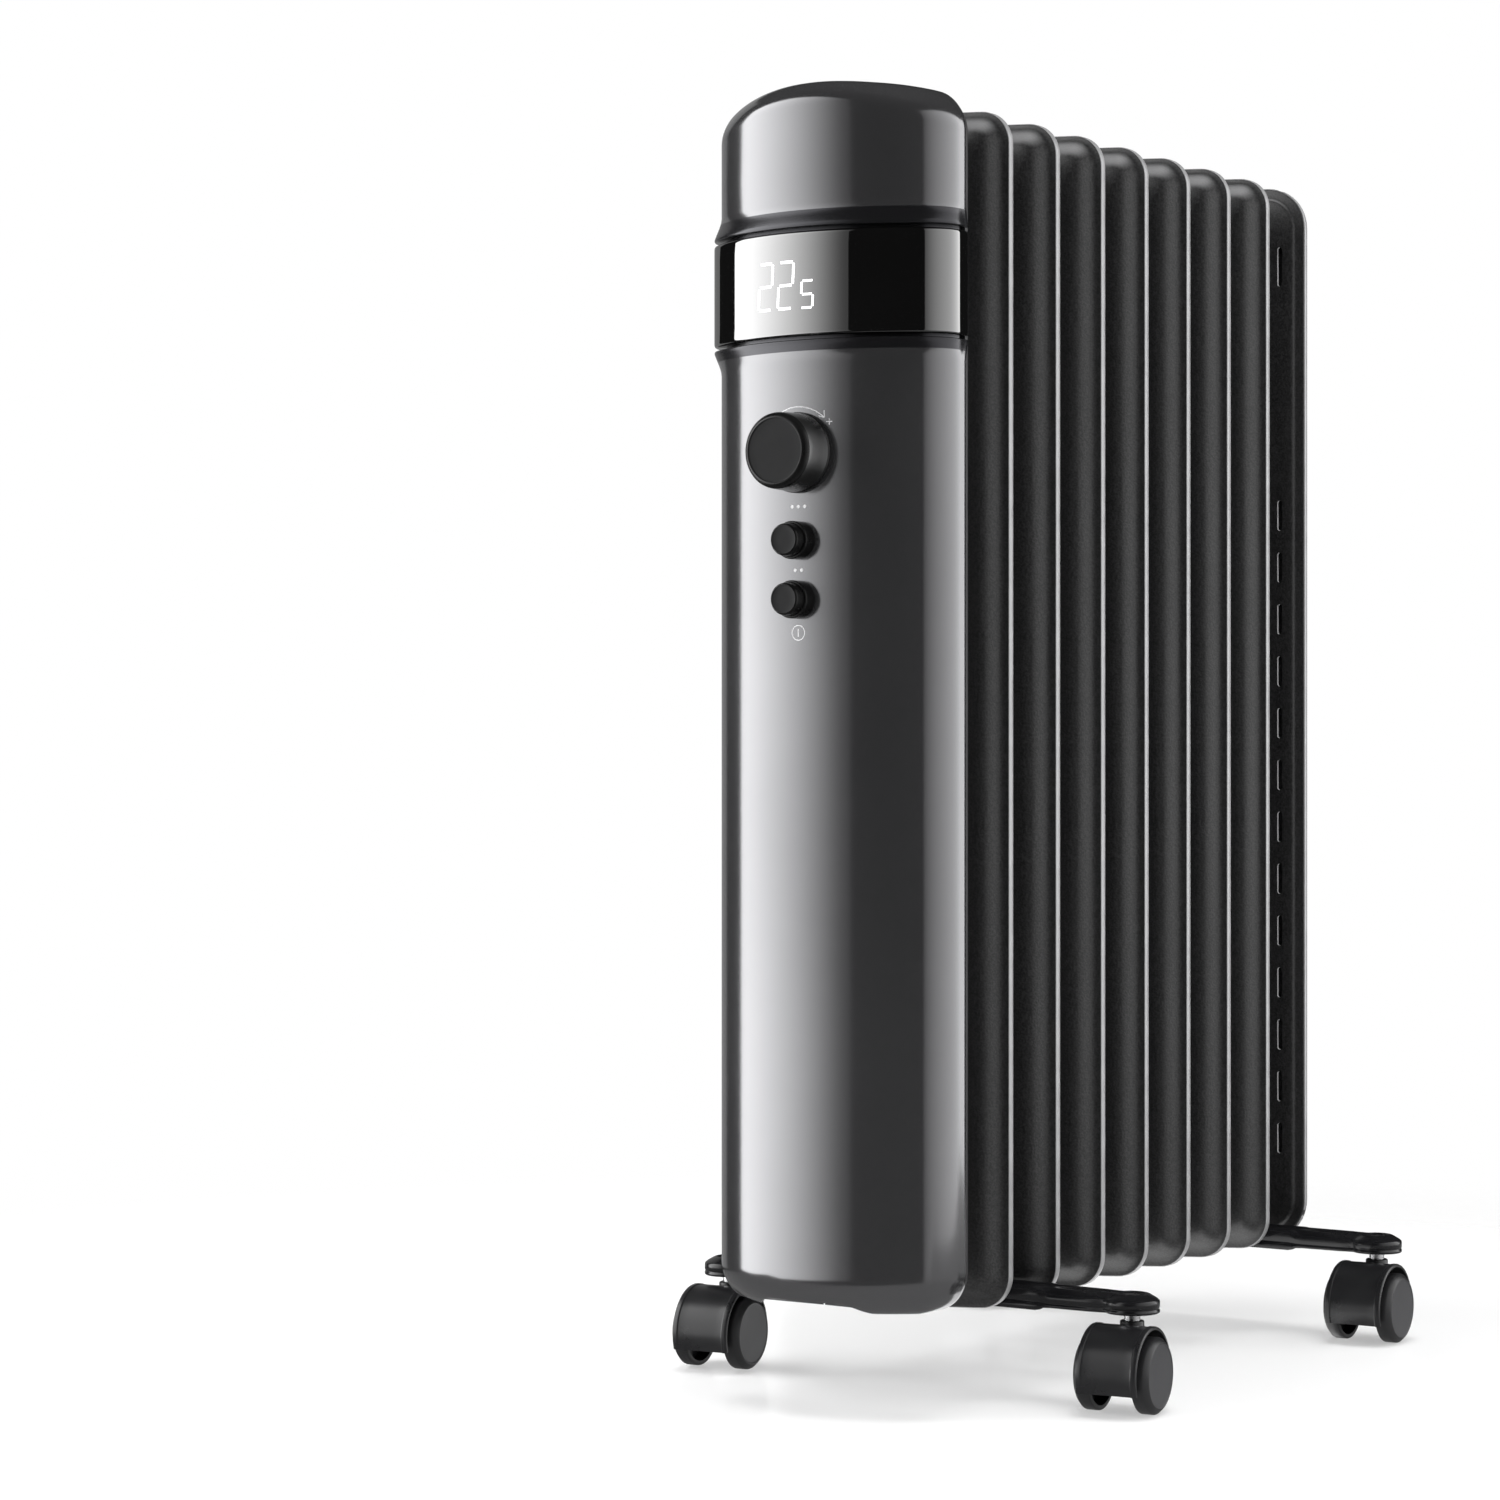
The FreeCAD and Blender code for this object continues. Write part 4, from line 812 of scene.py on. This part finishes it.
def bar_outline(inset=0.0):
    """Right half of the foot bar's plan: broad middle, shoulder, shallow scallop and round paddle."""
    half = 12.5 - inset
    points = [(0, half), (40, half), (67, half), (72, half), (74.5, half - 0.3), (76, half - 0.9)]
    radius = 13.6 - inset
    waist = half - 2.9
    join = STEM_X - math.sqrt(radius ** 2 - waist ** 2)
    for step in range(1, 7):
        points.append((76 + 4 * step, half - 0.9 - 0.1 * step))
    for step in range(1, 7):
        t = step / 6
        points.append((100 + (join - 100) * t, half - 1.5 + (waist - half + 1.5) * smoothstep(0, 1, t)))
    begin = math.pi - math.asin(waist / radius)
    for step in range(1, 25):
        angle = begin * (1 - step / 24)
        points.append((STEM_X + radius * math.cos(angle), radius * math.sin(angle)))
    return points


def bar_ring(inset, inner, outer):
    """Ring of the bar at a height for its inner part and another for its outer part."""
    right = bar_outline(inset)
    lower = [(x, -y) for x, y in reversed(right[:-1])]
    half = right + lower
    ring = [(x, y, outer + (inner - outer) * smoothstep(77, 73, x)) for x, y in half]
    mirrored = [(-x, y, z) for x, y, z in reversed(ring[1:-1])]
    return ring + mirrored


# Sections of a bar's upper skin: (inset, inner height, outer height), from BAR_LOW and from BAR_TOP.
BAR_SIDES = [(1.5, -1.5, 0), (0.4, -1.5, 0), (0.0, -1.1, 0.4), (0.0, 2.2, 1.6), (0.35, 2.5, 1.9),
             (0.35, 3.1, 2.4), (0.0, 3.5, 2.8)]
BAR_DECK = [(0.0, 1.6, 4.0), (0.2, 1.0, 3.3), (0.8, 0.6, 2.7), (1.8, 0.4, 2.0), (3.2, 0.2, 1.2),
            (4.4, 0.1, 0.5), (5.2, 0, 0.15), (5.8, 0, 0), (6.4, 0.05, 0.1), (7.0, 0.5, 0.6),
            (7.6, 0.75, 0.85), (8.6, 0.8, 0.9)]
EYELET = [(-1.2, 5.4), (-0.75, 5.2), (-0.45, 4.9), (-0.4, 4.5), (-0.7, 4.1), (-1.6, 4.0), (-2.2, 3.9),
          (-2.2, 0.01)]


def make_bars():
    """Foot bars with sloping edges, and an eyelet over each caster's stem."""
    rings = [bar_ring(inset, BAR_LOW + inner, BAR_LOW + outer) for inset, inner, outer in BAR_SIDES]
    rings += [bar_ring(inset, BAR_TOP - inner, BAR_TOP - outer) for inset, inner, outer in BAR_DECK]
    under = [bar_ring(1.5, BAR_LOW - 1.5, BAR_LOW), bar_ring(1.5, BAR_TOP - 5.0, BAR_TOP - 5.0)]
    skin = join_skins(loft(rings, cap_last=True), loft(under, cap_last=True))
    for label in ("front", "rear"):
        node = f"{label}_foot_bar"
        low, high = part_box(node)
        piece = sharpen(add_mesh(f"{label}_foot", *skin, materials["bar_paint"]), 60)
        piece.location = (0, (low.y + high.y) / 2, 0)
        finish_piece(piece, "root", "bar_paint", node)
        for side, corner in ((1, "right"), (-1, "left")):
            rim = lathe(EYELET, lambda along, across, up: (side * STEM_X + across, up, BAR_TOP + along), 40)
            eyelet = sharpen(add_mesh(f"{label}_{corner}_eyelet", *rim, materials["bar_paint"]), 40)
            eyelet.location = piece.location
            finish_piece(eyelet, "root", "bar_paint")


# Casters

TRAIL = 11.5
AXLE_Z = 18.75


def across_axle(along, across, up):
    """Point about a caster's axle, in the caster's own axes."""
    return (along, -TRAIL + across, AXLE_Z + up)


def hood_skins():
    """Caster hood: arched shell, its two end faces, the middle web, the axle boss and the stem's socket."""
    outer, inner, half = 23.75, 22.0, 15.8
    section = [(-half, inner), (-half, outer - 0.7), (-half + 0.25, outer - 0.25), (-half + 0.8, outer),
               (-half + 2.6, outer), (-half + 2.9, outer - 0.28), (-half + 3.4, outer - 0.35)]
    section += [(x, outer - 0.35) for x in (-8, 0, 8)]
    section += [(-x, radius) for x, radius in reversed(section[:7])]
    section.append((-half, inner))
    start = -math.degrees(math.asin((AXLE_Z - 11) / outer))
    shell = lathe(section, across_axle, 56, (start, 180 - start))
    ends = []
    for angle in (start, 180 - start):
        turn = math.radians(angle)
        ends.append(([across_axle(x, r * math.cos(turn), r * math.sin(turn)) for x, r in section[:-1]],
                     [tuple(range(len(section) - 1))]))
    web = []
    for x in (-2.5, 2.5):
        ring = []
        for step in range(33):
            angle = math.radians(start + (180 - 2 * start) * step / 32)
            ring.append(across_axle(x, (inner + 0.5) * math.cos(angle), (inner + 0.5) * math.sin(angle)))
        web.append(ring)
    middle = loft(web, cap_first=True, cap_last=True)
    boss = lathe([(-6.8, 0.01), (-6.8, 5), (6.8, 5), (6.8, 0.01)], across_axle, 32)
    collar = [(24, 6.6), (37.0, 6.6), (37.6, 6.5), (38.2, 6.2), (38.6, 6.0), (42.3, 6.0), (42.9, 5.8),
              (43.2, 5.3), (43.2, 4.1), (30, 4.1)]
    socket = lathe(collar, lambda along, across, up: (across, up, along), 48)
    return join_skins(shell, *ends, middle, boss, socket)


def wheel_profiles():
    """A wheel's tread, outer face and inside, for lathe."""
    tread = [(11.0, 16.4), (11.0, 18.2), (11.2, 18.6), (11.6, 18.75), (17.0, 18.75), (17.5, 18.6),
             (18.9, 17.2), (19.5, 16.5), (19.75, 16.0), (19.8, 15.6)]
    face = [(19.8, 15.6), (19.7, 15.3), (19.5, 15.1), (19.45, 14.6), (19.45, 8), (19.45, 4.0), (19.45, 0.01)]
    inside = [(11.0, 16.4), (17.5, 16.2), (17.5, 5.0), (7.2, 5.0), (7.2, 2.1)]
    return tread, face, inside


def make_casters():
    """Four casters at their rest headings, each with a hood and two wheels."""
    hood_skin = hood_skins()
    tread, face, inside = wheel_profiles()
    for corner in ("front_right", "front_left", "rear_right", "rear_left"):
        stem = joints[f"caster_{corner}_swivel"]["pos_m"]
        axis = joints[f"wheel_{corner}_right_roll"]["axis"]
        heading = math.atan2(axis[1], axis[0])
        place = Matrix.Translation((stem[0], stem[1], 0)) @ Matrix.Rotation(heading, 4, "Z")
        hood = sharpen(add_mesh(f"hood_{corner}", *hood_skin, materials["caster_plastic"]), 40)
        hood.matrix_world = place
        finish_piece(hood, f"caster_{corner}", "caster_plastic", f"caster_hood_{corner}")
        for label, side in (("right", 1), ("left", -1)):
            body = f"wheel_{corner}_{label}"

            def spot(along, across, up):
                return across_axle(side * along, across, up)

            wheel = join_skins(lathe(tread, spot, 72), lathe(inside, spot, 72))
            roller = sharpen(add_mesh(f"roller_{corner}_{label}", *wheel, materials["wheel_plastic"]), 35)
            roller.matrix_world = place
            finish_piece(roller, body, "wheel_plastic", body)
            disc = add_mesh(f"disc_{corner}_{label}", *lathe(face, spot, 72), materials["wheel_face"])
            sharpen(disc, 35)
            disc.matrix_world = place
            finish_piece(disc, body, "wheel_plastic")


# Inlet and frame

GLAND_SEAT = 56.5 * MM
GLAND_DRAW = 0.5


def make_gland():
    """The cord inlet in the housing's floor, drawn up so that the arched lip hides it."""
    node = frame["nodes"]["cable_gland"]
    mesh = node.data.copy()
    mesh.transform(node.matrix_world)
    mesh.name = "cord_inlet"
    for vertex in mesh.vertices:
        if vertex.co.z < GLAND_SEAT:
            vertex.co.z = GLAND_SEAT - (GLAND_SEAT - vertex.co.z) * GLAND_DRAW
    piece = bpy.data.objects.new("cord_inlet", mesh)
    bpy.context.scene.collection.objects.link(piece)
    mesh.materials.clear()
    mesh.materials.append(materials["gland_black"])
    finish_piece(piece, "root", "gland_black", "cable_gland")


def dress_frame():
    """Give every node that stays visible the material of its slot."""
    for entry in frame["record"]["subparts"]:
        node = frame["nodes"][entry["node"]]
        node.data.materials.clear()
        node.data.materials.append(materials[entry["material_slot"]])


# Stage, lights and camera


def emitter(name, corners, low, high, hold=None):
    """Soft white panel, seen only in reflections and by its light. Its brightness runs from low at the
    first corner to high at the second. With hold, it stays at low for that share of the run and then
    changes softly."""
    mesh = bpy.data.meshes.new(name)
    mesh.from_pydata(corners, [], [(0, 1, 2, 3)])
    panel = bpy.data.objects.new(name, mesh)
    bpy.context.scene.collection.objects.link(panel)
    uv = mesh.uv_layers.new(name="run")
    for loop, place in zip(uv.data, ((0, 0), (1, 0), (1, 1), (0, 1))):
        loop.uv = place
    material = bpy.data.materials.new(name)
    material.use_nodes = True
    nodes = material.node_tree.nodes
    links = material.node_tree.links
    nodes.clear()
    out = nodes.new("ShaderNodeOutputMaterial")
    glow = nodes.new("ShaderNodeEmission")
    glow.inputs["Color"].default_value = (1, 1, 1, 1)
    uv_map = nodes.new("ShaderNodeUVMap")
    uv_map.uv_map = "run"
    split = nodes.new("ShaderNodeSeparateXYZ")
    ramp = nodes.new("ShaderNodeMapRange")
    if hold is not None:
        ramp.interpolation_type = "SMOOTHSTEP"
        ramp.inputs["From Min"].default_value = hold
    ramp.inputs["To Min"].default_value = low
    ramp.inputs["To Max"].default_value = high
    links.new(uv_map.outputs["UV"], split.inputs["Vector"])
    links.new(split.outputs["X"], ramp.inputs["Value"])
    links.new(ramp.outputs["Result"], glow.inputs["Strength"])
    links.new(glow.outputs["Emission"], out.inputs["Surface"])
    mesh.materials.append(material)
    panel.visible_camera = False
    panel.visible_shadow = False
    panel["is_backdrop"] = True
    return panel


def area_light(name, place, aim, size, power):
    """Soft rectangular light aimed at a point, kept out of reflections."""
    data = bpy.data.lights.new(name, "AREA")
    data.shape = "RECTANGLE"
    data.size, data.size_y = size
    data.energy = power
    lamp = bpy.data.objects.new(name, data)
    bpy.context.scene.collection.objects.link(lamp)
    lamp.location = place
    lamp.rotation_euler = (Vector(aim) - Vector(place)).to_track_quat("-Z", "Y").to_euler()
    lamp.visible_glossy = False


FLOOR_RADIUS = 1400
FLOOR_DROP = -0.4
FLOOR_SIDES = 96
LIGHT_AIM = (0.05, 0, 0.3)


def make_stage():
    """White studio: floor, backdrop, reflected panels and two soft lights."""
    scene = bpy.context.scene
    scene.view_settings.view_transform = "Standard"
    world = bpy.data.worlds.new("studio")
    scene.world = world
    world.use_nodes = True
    world.node_tree.nodes["Background"].inputs["Color"].default_value = (1, 1, 1, 1)
    world.node_tree.nodes["Background"].inputs["Strength"].default_value = 0.015

    ring = []
    for step in range(FLOOR_SIDES):
        angle = math.tau * step / FLOOR_SIDES
        ring.append((FLOOR_RADIUS * math.cos(angle), FLOOR_RADIUS * math.sin(angle), FLOOR_DROP))
    floor = add_mesh("floor", ring, [tuple(range(FLOOR_SIDES))], floor_material(), smooth=False)
    floor.visible_glossy = False
    floor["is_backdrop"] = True

    dome = add_mesh("backdrop", *lathe([(-900, 0.01), (-900, 9000), (9000, 9000), (9000, 0.01)],
                                       lambda along, across, up: (across, up, along), 48),
                    backdrop_material(), smooth=False)
    for flag in ("visible_diffuse", "visible_glossy", "visible_transmission", "visible_shadow"):
        setattr(dome, flag, False)
    dome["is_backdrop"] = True

    # Left panel, mirrored in the rounded front. It runs on under the floor, so that the reflection
    # reaches the foot.
    emitter("panel_left", [(-1.234, -0.308, -0.16), (0.035, -1.393, -0.16), (0.035, -1.393, 1.55),
                           (-1.234, -0.308, 1.2)], 4.7, 0.2, hold=0.1)
    # Right panel: grazes the rims of the core and the housing's right side.
    emitter("panel_right", [(1.15, -1.13, -0.35), (1.15, 2.1, -0.35), (1.15, 2.1, 1.7), (1.15, -1.13, 1.7)],
            0.25, 3.4)
    # Dim panel behind on the left, for the housing's left side.
    emitter("panel_back", [(-1.3, 1.7, -0.2), (-1.3, 0.15, -0.2), (-1.3, 0.15, 1.5), (-1.3, 1.7, 1.5)],
            0.35, 0.4)
    area_light("top", (0.1, 0.0, 2.0), LIGHT_AIM, (1.2, 1.2), 34)
    # Weak glow of the pale floor in polished parts; the floor itself is kept out of their reflections.
    glow = emitter("floor_glow", [(-0.4, -0.42, -0.02), (0.8, -0.42, -0.02), (0.8, 0.9, -0.02),
                                  (-0.4, 0.9, -0.02)], 0.2, 0.4)
    glow.visible_diffuse = False
    # Brighter strip under the elements, for the sheen on their lower corners.
    under = emitter("under_glow", [(-0.1, -0.06, -0.015), (0.1, -0.06, -0.015), (0.1, 0.19, -0.015),
                                   (-0.1, 0.19, -0.015)], 0.8, 1.8)
    under.visible_diffuse = False
    area_light("fill", (1.5, -1.6, 1.0), LIGHT_AIM, (0.9, 1.2), 14)


def backdrop_material():
    """Plain white light."""
    material = bpy.data.materials.new("backdrop")
    material.use_nodes = True
    nodes = material.node_tree.nodes
    nodes.clear()
    out = nodes.new("ShaderNodeOutputMaterial")
    glow = nodes.new("ShaderNodeEmission")
    glow.inputs["Strength"].default_value = 1.0
    material.node_tree.links.new(glow.outputs["Emission"], out.inputs["Surface"])
    return material


def floor_material():
    """Pale matt floor with a faint sheen that fades out into the white backdrop."""
    material = bpy.data.materials.new("floor")
    material.use_nodes = True
    nodes = material.node_tree.nodes
    links = material.node_tree.links
    shader = nodes["Principled BSDF"]
    shader.inputs["Base Color"].default_value = (0.8, 0.8, 0.8, 1)
    shader.inputs["Roughness"].default_value = 0.12
    shader.inputs["Specular IOR Level"].default_value = 0.12
    shader.inputs["Emission Color"].default_value = (1, 1, 1, 1)
    shader.inputs["Emission Strength"].default_value = 0.4
    place = nodes.new("ShaderNodeTexCoord")
    length = nodes.new("ShaderNodeVectorMath")
    length.operation = "LENGTH"
    fade = nodes.new("ShaderNodeMapRange")
    fade.interpolation_type = "SMOOTHSTEP"
    fade.inputs["From Min"].default_value = 0.4
    fade.inputs["From Max"].default_value = 0.95
    fade.inputs["To Min"].default_value = 1.0
    fade.inputs["To Max"].default_value = 0.0
    links.new(place.outputs["Object"], length.inputs[0])
    links.new(length.outputs["Value"], fade.inputs["Value"])
    links.new(fade.outputs["Result"], shader.inputs["Alpha"])
    return material


def make_camera():
    """Level camera at the photograph's angle."""
    data = bpy.data.cameras.new("camera")
    data.sensor_width = 36
    data.lens = 92.53
    data.shift_y = -0.0036
    camera = bpy.data.objects.new("camera", data)
    bpy.context.scene.collection.objects.link(camera)
    camera.location = (1.0411, -1.7421, 0.325)
    camera.rotation_euler = (math.radians(90), 0, math.radians(34.7))
    bpy.context.scene.camera = camera


dress_frame()
make_body()
make_band()
make_cap()
make_plate()
make_elements()
make_cover()
make_knob()
make_buttons()
make_markings()
make_digits()
make_bars()
make_casters()
make_gland()
make_stage()
make_camera()

bpy.context.view_layer.update()
[[list(corner) for corner in box] for box in (cad_box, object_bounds())]
